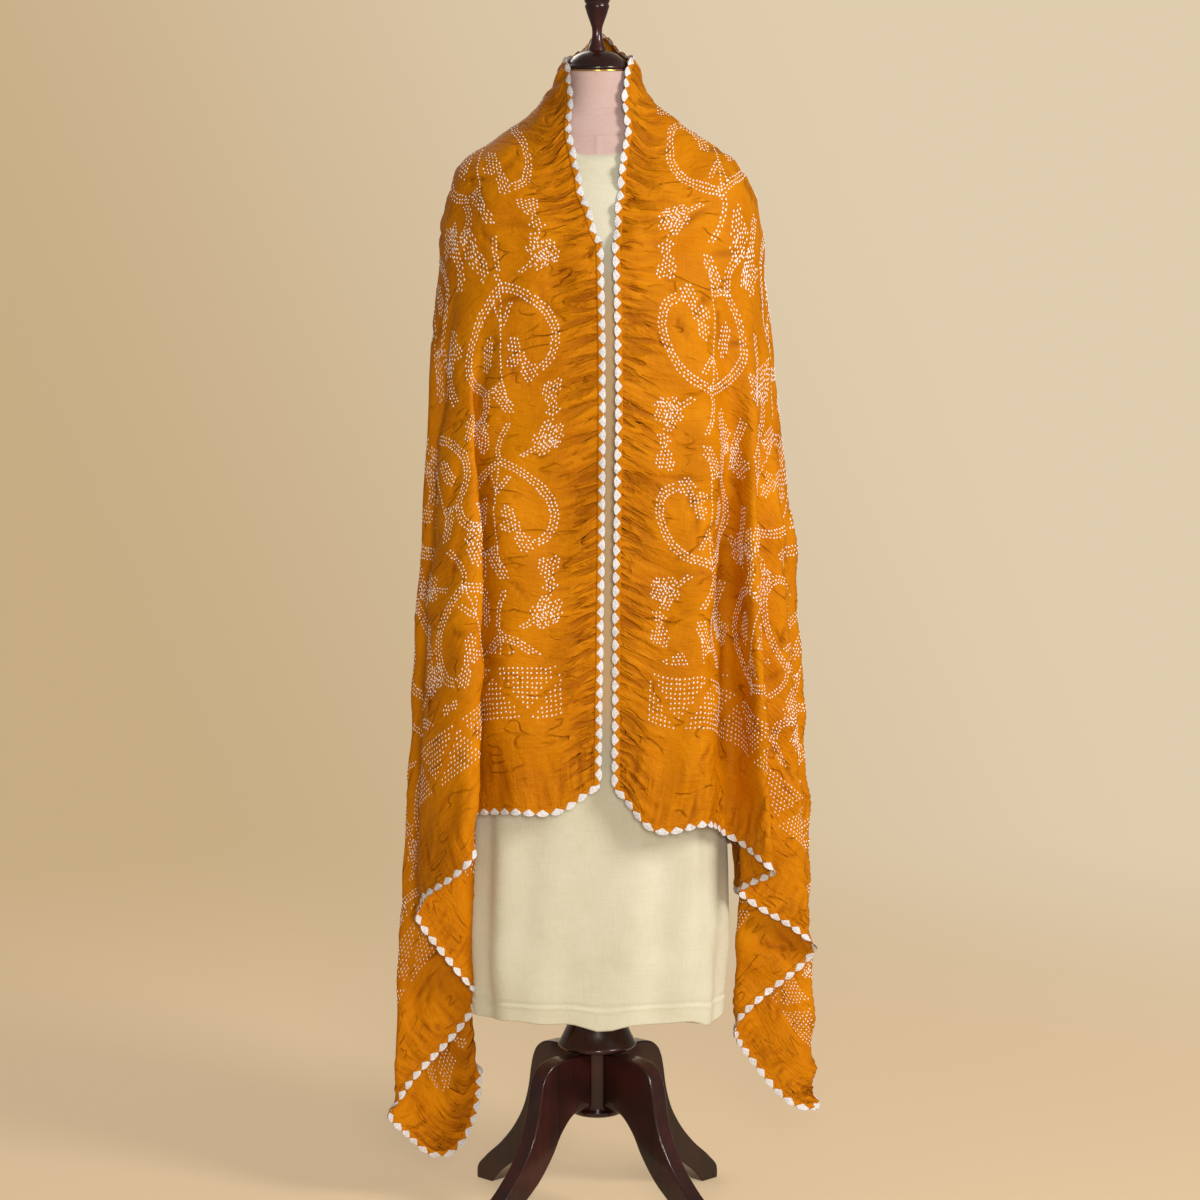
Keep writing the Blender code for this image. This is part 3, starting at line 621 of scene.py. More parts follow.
def curl_collar(grid):
    """Curls the cloth's edge in over an arc beside and behind the neck, lifts it and draws it in a little.

    The arc's turn is its length over its radius, and it grows from the side of the neck to the back.
    """
    rim, base = grid[:, 0], grid[:, CURL_THREADS]
    high = np.clip((rim[:, 2] - CURL_FROM) / (CURL_FULL - CURL_FROM), 0, 1)
    high = high * high * (3 - 2 * high)
    spoke = (rim - AXIS) * (1, 1, 0)
    behind = np.clip(spoke[:, 1] / np.linalg.norm(spoke, axis=1), 0, 1)
    turn = high * (SIDE_CURL + (BACK_CURL - SIDE_CURL) * behind) + 1e-6
    up = unit(rim - base)
    inward = -unit(spoke)
    inward = unit(inward - np.sum(inward * up, axis=1, keepdims=True) * up)
    long = np.linalg.norm(rim - base, axis=1)
    for thread in range(CURL_THREADS):
        share = 1 - thread / CURL_THREADS
        rise = (np.sin(turn * share) / turn * long)[:, None]
        lean = ((1 - np.cos(turn * share)) / turn * long)[:, None]
        grid[:, thread] = base + up * rise + inward * lean
    near = np.clip(1 - WIDTH / CURL_LIFT_REACH, 0, 1) ** 2
    grid[:, :, 2] += CURL_LIFT * (high * (SIDE_LIFT + (1 - SIDE_LIFT) * behind))[:, None] * near[None, :]
    grid[:, :, 0] -= CURL_NARROW * (high * behind)[:, None] * near[None, :] * (grid[:, :, 0] - AXIS[0])
    return grid


LENGTH, WIDTH, SMOOTH_CLOTH = threads()
SMOOTH_CLOTH = curl_collar(SMOOTH_CLOTH)
SMOOTH_NORMALS = facing(SMOOTH_CLOTH)
CREASES = creases_of(LENGTH, WIDTH)
CLOTH = SMOOTH_CLOTH + SMOOTH_NORMALS * (waves_of(LENGTH, WIDTH) + CREASES)[..., None]
CLOTH_NORMALS = facing(CLOTH)

# Piece-dyed mulberry silk crepe, washed and left crinkled. It scatters light softly, keeps a low silky sheen,
# and its colour is a little uneven where the tied bundle kept the bath out. Its yarn is about 0.3 mm, too
# fine for the picture, so the slubs are drawn 1.4 mm wide and the crinkle 7.5 mm. Hollows and sharp creases
# are darkened with painted shade.
DYE, DYE_DEEP, DYE_LIGHT, PAINTED_SHADE = "#C77A02", "#B46802", "#D48A06", "#7A3602"
SLUB_WIDTH, SLUB_LENGTH = 0.0014, 0.030
CRINKLE_WIDTH, CRINKLE_LENGTH = 0.0075, 0.020
BLOOM_SIZE = 0.070
PUCKER_WIDTH, PUCKER_LENGTH, PUCKER_HEIGHT = 0.0110, 0.055, 0.0030
PUCKER_REACH, PUCKER_FULL = 0.080, 0.010
LINE_SIZE, LINE_STRETCH, BREAK_SIZE = 0.028, 0.42, 0.034
HOLLOW_SHADE_DEPTH = 0.0022
SHADE_SHARE, CRACK_SHADE, VALLEY_SHADE = 0.58, 0.38, 0.8

dyed, tree, shader = new_finish("dyed silk crepe")
shader.inputs["Roughness"].default_value = 0.58
shader.inputs["Specular IOR Level"].default_value = 0.06
shader.inputs["Sheen Weight"].default_value = 0.05
shader.inputs["Sheen Roughness"].default_value = 0.40
shader.inputs["Sheen Tint"].default_value = linear("#E8941A")
uv = add_node(tree, "ShaderNodeUVMap", uv_map="cloth").outputs["UV"]
bloom = add_node(tree, "ShaderNodeTexNoise", {"Vector": uv, "Scale": 1 / BLOOM_SIZE, "Detail": 3.0})
tone = add_node(tree, "ShaderNodeMapRange", {
    "Value": bloom.outputs["Fac"], "From Min": 0.32, "From Max": 0.70})
long_way = add_node(tree, "ShaderNodeMapping", {
    "Vector": uv, "Scale": (1 / SLUB_LENGTH, 1 / SLUB_WIDTH, 1.0)})
cross_way = add_node(tree, "ShaderNodeMapping", {
    "Vector": uv, "Scale": (1 / SLUB_WIDTH, 1 / SLUB_LENGTH, 1.0)})
warp = add_node(tree, "ShaderNodeTexNoise", {
    "Vector": long_way.outputs["Vector"], "Scale": 1.0, "Detail": 1.0})
weft = add_node(tree, "ShaderNodeTexNoise", {
    "Vector": cross_way.outputs["Vector"], "Scale": 1.0, "Detail": 1.0})
yarns = add_node(tree, "ShaderNodeMath", {0: warp.outputs["Fac"], 1: weft.outputs["Fac"]}, operation="ADD")
base = add_node(tree, "ShaderNodeMix", {
    0: tone.outputs["Result"], 6: linear(DYE_DEEP), 7: linear(DYE)}, data_type="RGBA")
thin = add_node(tree, "ShaderNodeMapRange", {
    "Value": yarns.outputs["Value"], "From Min": 0.95, "From Max": 1.35, "To Max": 0.40})
light = add_node(tree, "ShaderNodeMix", {
    0: thin.outputs["Result"], 6: base.outputs[2], 7: linear(DYE_LIGHT)}, data_type="RGBA")
# The hollow attribute carries painted shade in the relief's hollows.
hollow = add_node(tree, "ShaderNodeAttribute", attribute_name="hollow")
crinkle_way = add_node(tree, "ShaderNodeMapping", {
    "Vector": uv, "Scale": (1 / CRINKLE_WIDTH, 1 / CRINKLE_LENGTH, 1.0)})
crinkle = add_node(tree, "ShaderNodeTexNoise", {
    "Vector": crinkle_way.outputs["Vector"], "Scale": 1.0, "Detail": 3.0, "Distortion": 0.8})
yarn_bump = add_node(tree, "ShaderNodeBump", {
    "Height": yarns.outputs["Value"], "Strength": 0.15, "Distance": 0.0003})
crinkle_bump = add_node(tree, "ShaderNodeBump", {
    "Height": crinkle.outputs["Fac"], "Strength": 0.80, "Distance": 0.0030,
    "Normal": yarn_bump.outputs["Normal"]})
normal = crinkle_bump.outputs["Normal"]

# Thin sharp creases lie where a drifting noise passes its middle value, broken up by a second one.
along_weft = add_node(tree, "ShaderNodeMapping", {
    "Vector": uv, "Scale": (1 / LINE_SIZE, LINE_STRETCH / LINE_SIZE, 1.0)})
drift = add_node(tree, "ShaderNodeTexNoise", {
    "Vector": along_weft.outputs["Vector"], "Scale": 1.0, "Detail": 1.5, "Distortion": 0.15})
breaks = add_node(tree, "ShaderNodeTexNoise", {"Vector": uv, "Scale": 1 / BREAK_SIZE, "Detail": 0.0})
offset = add_node(tree, "ShaderNodeMath", {0: drift.outputs["Fac"], 1: 0.5}, operation="SUBTRACT")
offset = add_node(tree, "ShaderNodeMath", {0: offset.outputs["Value"]}, operation="ABSOLUTE")
line = add_node(tree, "ShaderNodeMapRange", {
    "Value": offset.outputs["Value"], "From Min": 0.034, "From Max": 0.0}, interpolation_type="SMOOTHSTEP")
shown = add_node(tree, "ShaderNodeMapRange", {
    "Value": breaks.outputs["Fac"], "From Min": 0.50, "From Max": 0.66})
crack = add_node(tree, "ShaderNodeMath", {
    0: line.outputs["Result"], 1: shown.outputs["Result"]}, operation="MULTIPLY")
crack_bump = add_node(tree, "ShaderNodeBump", {
    "Height": crack.outputs["Value"], "Strength": 0.9, "Distance": 0.0020, "Normal": normal}, invert=True)
normal = crack_bump.outputs["Normal"]
# Crease lines are also darkened in colour: painted shade.
depth = add_node(tree, "ShaderNodeMath", {
    0: crack.outputs["Value"], 1: CRACK_SHADE}, operation="MULTIPLY").outputs["Value"]

# The crochet draws fine puckers in from the edges, strong along both long edges and weak at the ends.
Puckers = namedtuple("Puckers", "way middle half share scale")
PUCKERS = (
    Puckers("Y", CLOTH_WIDTH / 2, CLOTH_WIDTH / 2, 1.0, (1 / PUCKER_WIDTH, 1 / PUCKER_LENGTH, 1.0)),
    Puckers("X", 0.0, LENGTH[-1], 0.35, (1 / PUCKER_LENGTH, 1 / PUCKER_WIDTH, 1.0)),
)
place = add_node(tree, "ShaderNodeSeparateXYZ", {"Vector": uv})
for row in PUCKERS:
    off = add_node(tree, "ShaderNodeMath", {0: place.outputs[row.way], 1: row.middle}, operation="SUBTRACT")
    off = add_node(tree, "ShaderNodeMath", {0: off.outputs["Value"]}, operation="ABSOLUTE")
    near = add_node(tree, "ShaderNodeMapRange", {
        "Value": off.outputs["Value"],
        "From Min": row.half - PUCKER_REACH, "From Max": row.half - PUCKER_FULL},
        interpolation_type="SMOOTHSTEP")
    run = add_node(tree, "ShaderNodeMapping", {"Vector": uv, "Scale": row.scale})
    pucker = add_node(tree, "ShaderNodeTexNoise", {
        "Vector": run.outputs["Vector"], "Scale": 1.0, "Detail": 3.0, "Distortion": 0.5})
    ridge = add_node(tree, "ShaderNodeMapRange", {
        "Value": pucker.outputs["Fac"], "From Min": 0.36, "From Max": 0.56}, interpolation_type="SMOOTHSTEP")
    height = add_node(tree, "ShaderNodeMath", {
        0: ridge.outputs["Result"], 1: near.outputs["Result"]}, operation="MULTIPLY")
    bump = add_node(tree, "ShaderNodeBump", {
        "Height": height.outputs["Value"], "Strength": row.share, "Distance": PUCKER_HEIGHT,
        "Normal": normal})
    normal = bump.outputs["Normal"]
    # The valleys between the puckers are darkened in colour: painted shade.
    valley = add_node(tree, "ShaderNodeMath", {
        0: near.outputs["Result"], 1: height.outputs["Value"]}, operation="SUBTRACT")
    depth = add_node(tree, "ShaderNodeMath", {
        0: valley.outputs["Value"], 1: VALLEY_SHADE * row.share, 2: depth}, operation="MULTIPLY_ADD")
    depth = depth.outputs["Value"]
tree.links.new(normal, shader.inputs["Normal"])

# Hollows of the relief, valleys of the puckers and crease lines together give the painted shade.
depth = add_node(tree, "ShaderNodeMath", {
    0: depth, 1: hollow.outputs["Fac"]}, operation="ADD", use_clamp=True)
depth = add_node(tree, "ShaderNodeMath", {0: depth.outputs["Value"], 1: SHADE_SHARE}, operation="MULTIPLY")
shaded = add_node(tree, "ShaderNodeMix", {
    0: depth.outputs["Value"], 6: light.outputs[2], 7: linear(PAINTED_SHADE)}, data_type="RGBA")
tree.links.new(shaded.outputs[2], shader.inputs["Base Color"])


def lay_uv(piece, places):
    """Gives a cloth piece its UV map: each point's length and width on the flat cloth, in metres."""
    corner_points = np.empty(len(piece.data.loops), dtype=np.int32)
    piece.data.loops.foreach_get("vertex_index", corner_points)
    layer = piece.data.uv_layers.new(name="cloth")
    layer.data.foreach_set("uv", places.reshape(-1, 2)[corner_points].ravel())


shawl = surface("shawl_cloth", [CLOTH], dyed)
lay_uv(shawl, np.stack(np.meshgrid(LENGTH, WIDTH, indexing="ij"), axis=-1))
# Painted shade: the cloth is darker where its creases dip below its surface, fully dark at the given depth.
hollow_shades = shawl.data.attributes.new("hollow", "FLOAT", "POINT")
hollow_shades.data.foreach_set("value", np.clip(-CREASES / HOLLOW_SHADE_DEPTH, 0, 1).ravel())
fit_out(shawl, "dyed_cloth", "shawl")


# Tied dots. Each is a pinch of cloth that thread kept from the dye: a small raised lozenge left white, and it
# shows on both faces. They follow traditional scrolls with leaves, flowers and buds, in columns along the
# cloth between two plain borders, and a band of dotted triangles crosses the cloth near each end.
DOT_LENGTH, DOT_WIDTH, DOT_HEIGHT, DOT_LIFT = 0.0033, 0.0026, 0.0009, 0.0003
DOT_PITCH, ROW_PITCH, LEAF_PITCH = 0.0055, 0.0047, 0.0055
CLOSEST_DOTS = 0.0032
SCROLL_PERIOD = 0.242
SCROLL_START = 0.660
SCROLL_REPEATS = range(-8, 5)
COLUMN_PERIOD = 0.155
FIRST_COLUMN = 0.130
COLUMN_COUNT = 6
FIELD_END = 0.925
BAND_START, BAND_END = 0.944, 1.010
BAND_PITCH = 0.0064
TRIANGLE_BASE = 0.098
PLAIN_STRIP = 0.0060
PLAIN_BORDER = 0.052
WOBBLE, TURN_WOBBLE = 0.00045, 0.20
SIZE_SPREAD = (0.86, 1.12)

# One scroll, in millimetres from its junction: ahead is along the cloth, aside is across it.
Stem = namedtuple("Stem", "name rows ahead aside")
STEMS = (
    Stem("near arc", 3, (0, 10, 40, 76, 100, 112), (0, -26, -60, -73, -66, -50)),
    Stem("far arc", 3, (0, 16, 46, 80, 110, 130), (0, 20, 46, 58, 48, 26)),
    Stem("middle stem", 1, (0, 50, 105, 150), (0, 3, 2, -6)),
    Stem("upper spur", 2, (-60, -36, -14, 0), (-8, 2, 5, 0)),
    Stem("bridge", 2, (122, 128, 132), (0, 12, 26)),
    Stem("hook", 3, (132, 150, 170, 184), (26, 24, 32, 48)),
    Stem("far stem", 3, (150, 190, 232), (56, 58, 66)),
    Stem("bud near", 2, (20, 34, 46), (-14, -6, 2)),
    Stem("bud far", 1, (16, 30, 46), (12, 8, 2)),
    Stem("leaf stalk", 2, (-12, -20, -30), (-28, -40, -54)),
)

# Leaves and flowers: length and width in millimetres, turn in degrees from ahead, how many lobes the outline
# has and how deep the notches between them are.
Leaf = namedtuple("Leaf", "name ahead aside length width turn lobes notch")
LEAVES = (
    Leaf("maple leaf", -36, -62, 56, 46, 25, 5, 0.45),
    Leaf("long leaf", 142, 3, 60, 24, -32, 1, 0.45),
    Leaf("tip leaf", 116, -38, 42, 26, 150, 1, 0.60),
    Leaf("trefoil", 144, -66, 38, 34, 10, 3, 0.45),
    Leaf("small flower", 172, -68, 22, 22, 0, 5, 0.30),
    Leaf("pine bud", 86, -18, 52, 32, 170, 3, 0.55),
    Leaf("willow leaf", 70, 24, 60, 24, 8, 1, 0.45),
    Leaf("upper leaf", -54, 36, 52, 32, 20, 3, 0.40),
    Leaf("far leaf", 170, 62, 52, 24, 8, 1, 0.40),
    Leaf("hanging leaf", 200, 26, 60, 20, 4, 1, 0.50),
    Leaf("wing leaf", 40, 82, 46, 26, -35, 3, 0.45),
    Leaf("side star", 208, -66, 38, 36, 15, 7, 0.40),
)


def stem_dots(stem):
    """Dots along a stem: evenly along a smooth curve through its points, in staggered rows beside it."""
    points = np.array([stem.ahead, stem.aside], dtype=float).T / 1000
    along = lengths_along(points)
    dots = []
    for number in range(stem.rows):
        places = np.arange(DOT_PITCH / 2 * (number % 2), along[-1], DOT_PITCH)
        line = curve_at(along, points, places)
        heading = unit(curve_at(along, points, places + DOT_PITCH / 4) - line)
        beside = np.stack([-heading[:, 1], heading[:, 0]], axis=1)
        line = line + beside * ROW_PITCH * (number - (stem.rows - 1) / 2)
        dots.append(np.column_stack([line, np.arctan2(heading[:, 1], heading[:, 0])]))
    return np.vstack(dots)


def leaf_dots(leaf):
    """Dots on a staggered lattice inside an outline of radius 1 - notch + notch |cos(lobes turn / 2)|."""
    half = leaf.length / 2000
    steps = np.arange(-half, half + LEAF_PITCH, LEAF_PITCH)
    x, y = np.meshgrid(steps, steps * ROW_PITCH / LEAF_PITCH, indexing="ij")
    x = x + np.where(np.arange(len(steps)) % 2, LEAF_PITCH / 2, 0.0)[None, :]
    reach = np.hypot(x / half, y / (leaf.width / 2000))
    outline = 1 - leaf.notch + leaf.notch * np.abs(np.cos(leaf.lobes * np.arctan2(y, x) / 2))
    x, y = x[reach <= outline], y[reach <= outline]
    turn = math.radians(leaf.turn)
    ahead = leaf.ahead / 1000 + x * math.cos(turn) - y * math.sin(turn)
    aside = leaf.aside / 1000 + x * math.sin(turn) + y * math.cos(turn)
    return np.column_stack([ahead, aside, np.full(len(x), turn)])


def field_of(scroll):
    """A scroll's dots repeated over the field; every other column is mirrored and half a period along."""
    dots = []
    for column in range(COLUMN_COUNT):
        mirror = 1 if column % 2 == 0 else -1
        for repeat in SCROLL_REPEATS:
            copy = scroll * (1, mirror, mirror)
            copy[:, 0] += SCROLL_START + (repeat + 0.5 * (column % 2)) * SCROLL_PERIOD
            copy[:, 1] += FIRST_COLUMN + column * COLUMN_PERIOD
            dots.append(copy)
    dots = np.vstack(dots)
    return dots[np.abs(dots[:, 0]) < FIELD_END]


def band_dots(side):
    """The dotted triangles near one end: an even lattice, left plain beside a zigzag across the cloth."""
    across = np.arange(PLAIN_BORDER, CLOTH_WIDTH - PLAIN_BORDER, BAND_PITCH)
    along = np.arange(BAND_START, BAND_END, BAND_PITCH)
    x, y = np.meshgrid(along, across, indexing="ij")
    zigzag = np.abs((y / TRIANGLE_BASE) % 1.0 - 0.5) * 2
    off = np.abs((x - BAND_START) / (BAND_END - BAND_START) - zigzag) * TRIANGLE_BASE / 2
    keep = off > PLAIN_STRIP
    return np.column_stack([side * x[keep], y[keep], np.full(keep.sum(), math.pi / 4)])


def thin_out(dots):
    """Leaves one dot where two or more would touch."""
    cells = np.round(dots[:, :2] / CLOSEST_DOTS).astype(int)
    first = np.unique(cells, axis=0, return_index=True)[1]
    return dots[np.sort(first)]


def on_cloth(values, s, t):
    """A value of the cloth's grid at any length and width."""
    x = np.clip((s - LENGTH[0]) / (LENGTH[1] - LENGTH[0]), 0, len(LENGTH) - 1)
    y = np.clip((t - WIDTH[0]) / (WIDTH[1] - WIDTH[0]), 0, len(WIDTH) - 1)
    return between(values, x, y)[0]


def tie(name, dots, finish):
    """One mesh of dots: each is a four-sided pyramid on both faces of the cloth, with its point raised."""
    chance = np.random.default_rng(len(dots))
    dots = thin_out(dots)
    dots = dots + chance.normal(0.0, 1.0, dots.shape) * (WOBBLE, WOBBLE, TURN_WOBBLE)
    size = chance.uniform(*SIZE_SPREAD, len(dots))
    s, t, turn = dots.T
    corners = []
    for quarter, half in enumerate((DOT_LENGTH / 2, DOT_WIDTH / 2) * 2):
        angle = turn + quarter * math.pi / 2
        corner = s + size * half * np.cos(angle), t + size * half * np.sin(angle)
        corners.append((on_cloth(CLOTH, *corner), unit(on_cloth(CLOTH_NORMALS, *corner))))
    middle, normal = on_cloth(CLOTH, s, t), unit(on_cloth(CLOTH_NORMALS, s, t))
    points, faces = [], []
    number = np.arange(len(dots)) * 10
    for face, side in ((0, 1), (5, -1)):
        points += [place + side * DOT_LIFT * out for place, out in corners]
        points.append(middle + side * DOT_HEIGHT * normal)
        for quarter in range(4):
            ring = (face + quarter, face + (quarter + 1) % 4)[::side]
            faces.append(np.stack([number + ring[0], number + ring[1], number + face + 4], axis=1))
    points, faces = (np.stack(values, axis=1).reshape(-1, 3) for values in (points, faces))
    piece = meshed(name, points, faces, finish)
    tips = piece.data.attributes.new("tip", "FLOAT", "POINT")
    tips.data.foreach_set("value", np.tile((0.0, 0.0, 0.0, 0.0, 1.0), 2 * len(dots)))
    fit_out(piece, "dyed_cloth")
    return piece


# Undyed silk under the ties: off-white, a little stained by the dye at the raised tip. It is about as rough
# as the dyed cloth, and each dot differs a little in how well its tie held.
resist, tree, shader = new_finish("undyed silk under the ties")
shader.inputs["Roughness"].default_value = 0.62
shader.inputs["Sheen Weight"].default_value = 0.15
tip = add_node(tree, "ShaderNodeAttribute", attribute_name="tip")
where = add_node(tree, "ShaderNodeTexCoord")
hold = add_node(tree, "ShaderNodeTexNoise", {"Vector": where.outputs["Object"], "Scale": 90.0, "Detail": 1.0})
stain = add_node(tree, "ShaderNodeMapRange", {
    "Value": hold.outputs["Fac"], "From Min": 0.35, "From Max": 0.75, "To Min": 0.0, "To Max": 0.30})
tinted = add_node(tree, "ShaderNodeMath", {
    0: tip.outputs["Fac"], 1: 0.16, 2: stain.outputs["Result"]}, operation="MULTIPLY_ADD")
colour = add_node(tree, "ShaderNodeMix", {
    0: tinted.outputs["Value"], 6: linear("#F6F2EE"), 7: linear("#E6B25E")}, data_type="RGBA")
tree.links.new(colour.outputs[2], shader.inputs["Base Color"])

stem_field = tie("dots_on_stems", field_of(np.vstack([stem_dots(stem) for stem in STEMS])), resist)
leaf_field = tie("dots_in_leaves", field_of(np.vstack([leaf_dots(leaf) for leaf in LEAVES])), resist)
end_bands = tie("dots_in_end_bands", np.vstack([band_dots(1), band_dots(-1)]), resist)


# Crochet edging. A strip worked round all four edges in two colours of cotton: a dyed ground that grips the
# cloth, white shells fanned out over it with their broad side outwards, and a dyed picot at each shell's tip.
EDGING_GAP = -0.0006
EDGING_WIDTH = 0.0084
EDGING_STEP = 0.0026
EDGING_THICK = 0.0012
GROUND_ROWS, GROUND_RIB = 4, 0.0003
SHELL_PITCH = 0.0189
SHELL_START, SHELL_GAP, SHELL_RISE = 0.0008, 0.00015, 0.0013
SHELL_STITCHES, STITCH_DEPTH, STITCH_SIZE = 5, 0.28, 0.0016
SHELL_ACROSS, SHELL_OUT = 11, 5
SCALLOP = 0.0010
PICOT_SIZE, PICOT_STRETCH, PICOT_SEAT = 0.0011, 1.6, 0.0002

# A shell's width as a share of the pitch, from its foot out to its rim.
ShellWidth = namedtuple("ShellWidth", "out width")
SHELL_SHAPE = (
    ShellWidth(0.00, 0.10), ShellWidth(0.25, 0.40), ShellWidth(0.50, 0.70), ShellWidth(0.75, 0.93),
    ShellWidth(1.00, 0.62),
)


def rim_path():
    """The cloth's edge as one loop, with the direction out of the cloth and the cloth's normal at each point.

    Outwards is the step from the point two threads in, made square to the edge, and evened along it.
    """
    last, end = len(LENGTH) - 1, len(WIDTH) - 1
    rows, columns = np.arange(last + 1), np.arange(end + 1)
    order = np.concatenate([
        np.stack([rows[:-1], np.zeros(last, int)], axis=1),
        np.stack([np.full(end, last), columns[:-1]], axis=1),
        np.stack([rows[:0:-1], np.full(last, end)], axis=1),
        np.stack([np.zeros(end, int), columns[:0:-1]], axis=1),
    ])
    inner = np.clip(order, 2, (last - 2, end - 2))
    points, normals = CLOTH[tuple(order.T)], CLOTH_NORMALS[tuple(order.T)]
    ahead = unit(np.roll(points, -1, axis=0) - np.roll(points, 1, axis=0))
    out = points - CLOTH[tuple(inner.T)]
    out = unit(out - np.sum(out * ahead, axis=1, keepdims=True) * ahead)
    out = unit(out + np.roll(out, 1, axis=0) + np.roll(out, -1, axis=0))
    return tuple(np.concatenate([values, values[:1]]) for values in (points, out, normals))


RIM, RIM_OUT, RIM_NORMALS = rim_path()
RIM_ALONG = lengths_along(RIM)
RIM_LENGTH = RIM_ALONG[-1]


def beside_rim(along, out, lift):
    """Points beside the cloth's edge: a distance out from it, and lifted by another off the cloth's middle.

    Both distances run along the unit vectors out of the cloth and along its normal there.
    """
    along, out, lift = np.broadcast_arrays(along % RIM_LENGTH, out, lift)
    at = [np.stack([np.interp(along, RIM_ALONG, values[:, axis]) for axis in range(3)], axis=-1)
          for values in (RIM, RIM_OUT, RIM_NORMALS)]
    return at[0] + unit(at[1]) * out[..., None] + unit(at[2]) * lift[..., None]


def yarn(name, colour, shade, spacing):
    """Matt mercerised cotton yarn in short stitches: rows of rounded bumps, with painted shade in the gaps
    between them.
    """
    finish, tree, shader = new_finish(name)
    shader.inputs["Roughness"].default_value = 0.82
    shader.inputs["Specular IOR Level"].default_value = 0.10
    where = add_node(tree, "ShaderNodeTexCoord")
    cells = add_node(tree, "ShaderNodeTexVoronoi", {"Vector": where.outputs["Object"], "Scale": 1 / spacing})
    gaps = add_node(tree, "ShaderNodeMapRange", {
        "Value": cells.outputs["Distance"], "From Min": 0.35, "From Max": 0.80})
    tone = add_node(tree, "ShaderNodeMix", {
        0: gaps.outputs["Result"], 6: linear(colour), 7: linear(shade)}, data_type="RGBA")
    bump = add_node(tree, "ShaderNodeBump", {
        "Height": cells.outputs["Distance"], "Strength": 0.7, "Distance": 0.0008}, invert=True)
    tree.links.new(tone.outputs[2], shader.inputs["Base Color"])
    tree.links.new(bump.outputs["Normal"], shader.inputs["Normal"])
    return finish


shell_count = round(RIM_LENGTH / SHELL_PITCH)
shell_pitch = RIM_LENGTH / shell_count
dyed_yarn = yarn("dyed crochet cotton", "#C77A02", "#A86204", STITCH_SIZE)
white_yarn = yarn("white crochet cotton", "#E4E3E6", "#BFBCBE", STITCH_SIZE)

along = np.linspace(0.0, RIM_LENGTH, round(RIM_LENGTH / EDGING_STEP), endpoint=False)[:, None]
share = np.linspace(0.0, 1.0, GROUND_ROWS)[None, :]
scallop = SCALLOP * (np.abs(np.cos(math.pi * along / shell_pitch)) - 1)
rib = GROUND_RIB * np.cos(4 * math.pi * share)
strip = beside_rim(along, EDGING_GAP + share * (EDGING_WIDTH + scallop), rib)
ground = surface("crochet_ground", [strip], dyed_yarn, closed=(True, False))
solidify = ground.modifiers.new("yarn thickness", "SOLIDIFY")
solidify.thickness = EDGING_THICK
solidify.offset = 0.0

# A shell is a grid over its width and its way out. It swells between its sides, its foot and its rim, with
# one ripple for each stitch, and the cloth's other face has the same shell.
middle = (np.arange(shell_count)[:, None, None] + 0.5) * shell_pitch
aside = np.linspace(-1.0, 1.0, SHELL_ACROSS)[None, :, None]
outward = np.linspace(0.0, 1.0, SHELL_OUT)[None, None, :]
half_width = shell_pitch / 2 * np.interp(outward, *zip(*SHELL_SHAPE))
crown = SCALLOP * (1 - aside ** 2) * outward
swell = np.sqrt(np.clip(1 - aside ** 4, 0, 1)) * np.sqrt(np.clip(outward * (1.10 - outward) * 3.3, 0, 1))
stitches = 1 - STITCH_DEPTH + STITCH_DEPTH * np.cos(math.pi * SHELL_STITCHES * aside)
grids = []
for face in (1, -1):
    lift = face * (EDGING_THICK / 2 + SHELL_GAP + SHELL_RISE * swell * stitches)
    grid = beside_rim(middle + aside * half_width, SHELL_START + outward * EDGING_WIDTH + crown, lift)
    grids += list(grid if face > 0 else grid[:, ::-1])
shells = surface("crochet_shells", grids, white_yarn)

# A picot is one small dyed loop, drawn as a bead of eight faces on each shell's tip.
tip_along = middle[:, 0, :] + PICOT_SIZE * np.array([[0, 1, 0, -1, 0, 0]])
tip_out = EDGING_WIDTH + SCALLOP - PICOT_SEAT + PICOT_SIZE * np.array([[0, 0, 0, 0, 1, -1]])
tip_lift = PICOT_SIZE * PICOT_STRETCH * np.array([[1, 0, -1, 0, 0, 0]])
bead = np.array([(0, 1, 4), (1, 2, 4), (2, 3, 4), (3, 0, 4), (1, 0, 5), (2, 1, 5), (3, 2, 5), (0, 3, 5)])
faces = (np.arange(shell_count)[:, None, None] * 6 + bead).reshape(-1, 3)
picots = meshed("picots", beside_rim(tip_along, tip_out, tip_lift).reshape(-1, 3), faces, dyed_yarn)
picots.data.shade_smooth()
for piece in (ground, shells, picots):
    fit_out(piece, "crochet_cotton", "edging")


# Dress form. A padded body under a plain cream linen cover that hangs loose from the waist to a turned-up
# hem, and a neck covered in pink linen, with a seam round it and one down the front. Shoulders and body are
# lofted through level sections; the cover's hem dips and waves a little.
ROUND_STEPS = 144
NECK_RADIUS = 0.0430
Section = namedtuple("Section", "z half_width half_depth squareness")
BODY = (
    Section(1.240, 0.184, 0.112, 2.1),
    Section(1.140, 0.160, 0.104, 2.1),
    Section(1.050, 0.142, 0.095, 2.1),
    Section(0.960, 0.152, 0.101, 2.2),
    Section(0.870, 0.170, 0.109, 2.3),
    Section(0.780, 0.178, 0.110, 2.5),
    Section(0.600, 0.179, 0.104, 2.8),
    Section(0.320, 0.177, 0.098, 2.9),
    Section(0.298, 0.175, 0.096, 2.9),
)
Turn = namedtuple("Turn", "radius z")
NECK_TURNS = (Turn(0.0430, 1.6163), Turn(0.0433, 1.6080), Turn(0.0440, 1.6000), Turn(0.0465, 1.5870))
COVER_FALLS = (0.118, 0.20, 0.35, 0.50, 0.62, 0.74, 0.88, 1.00)
NECK_FALLS = (0.03, 0.08, 0.118, 0.150)

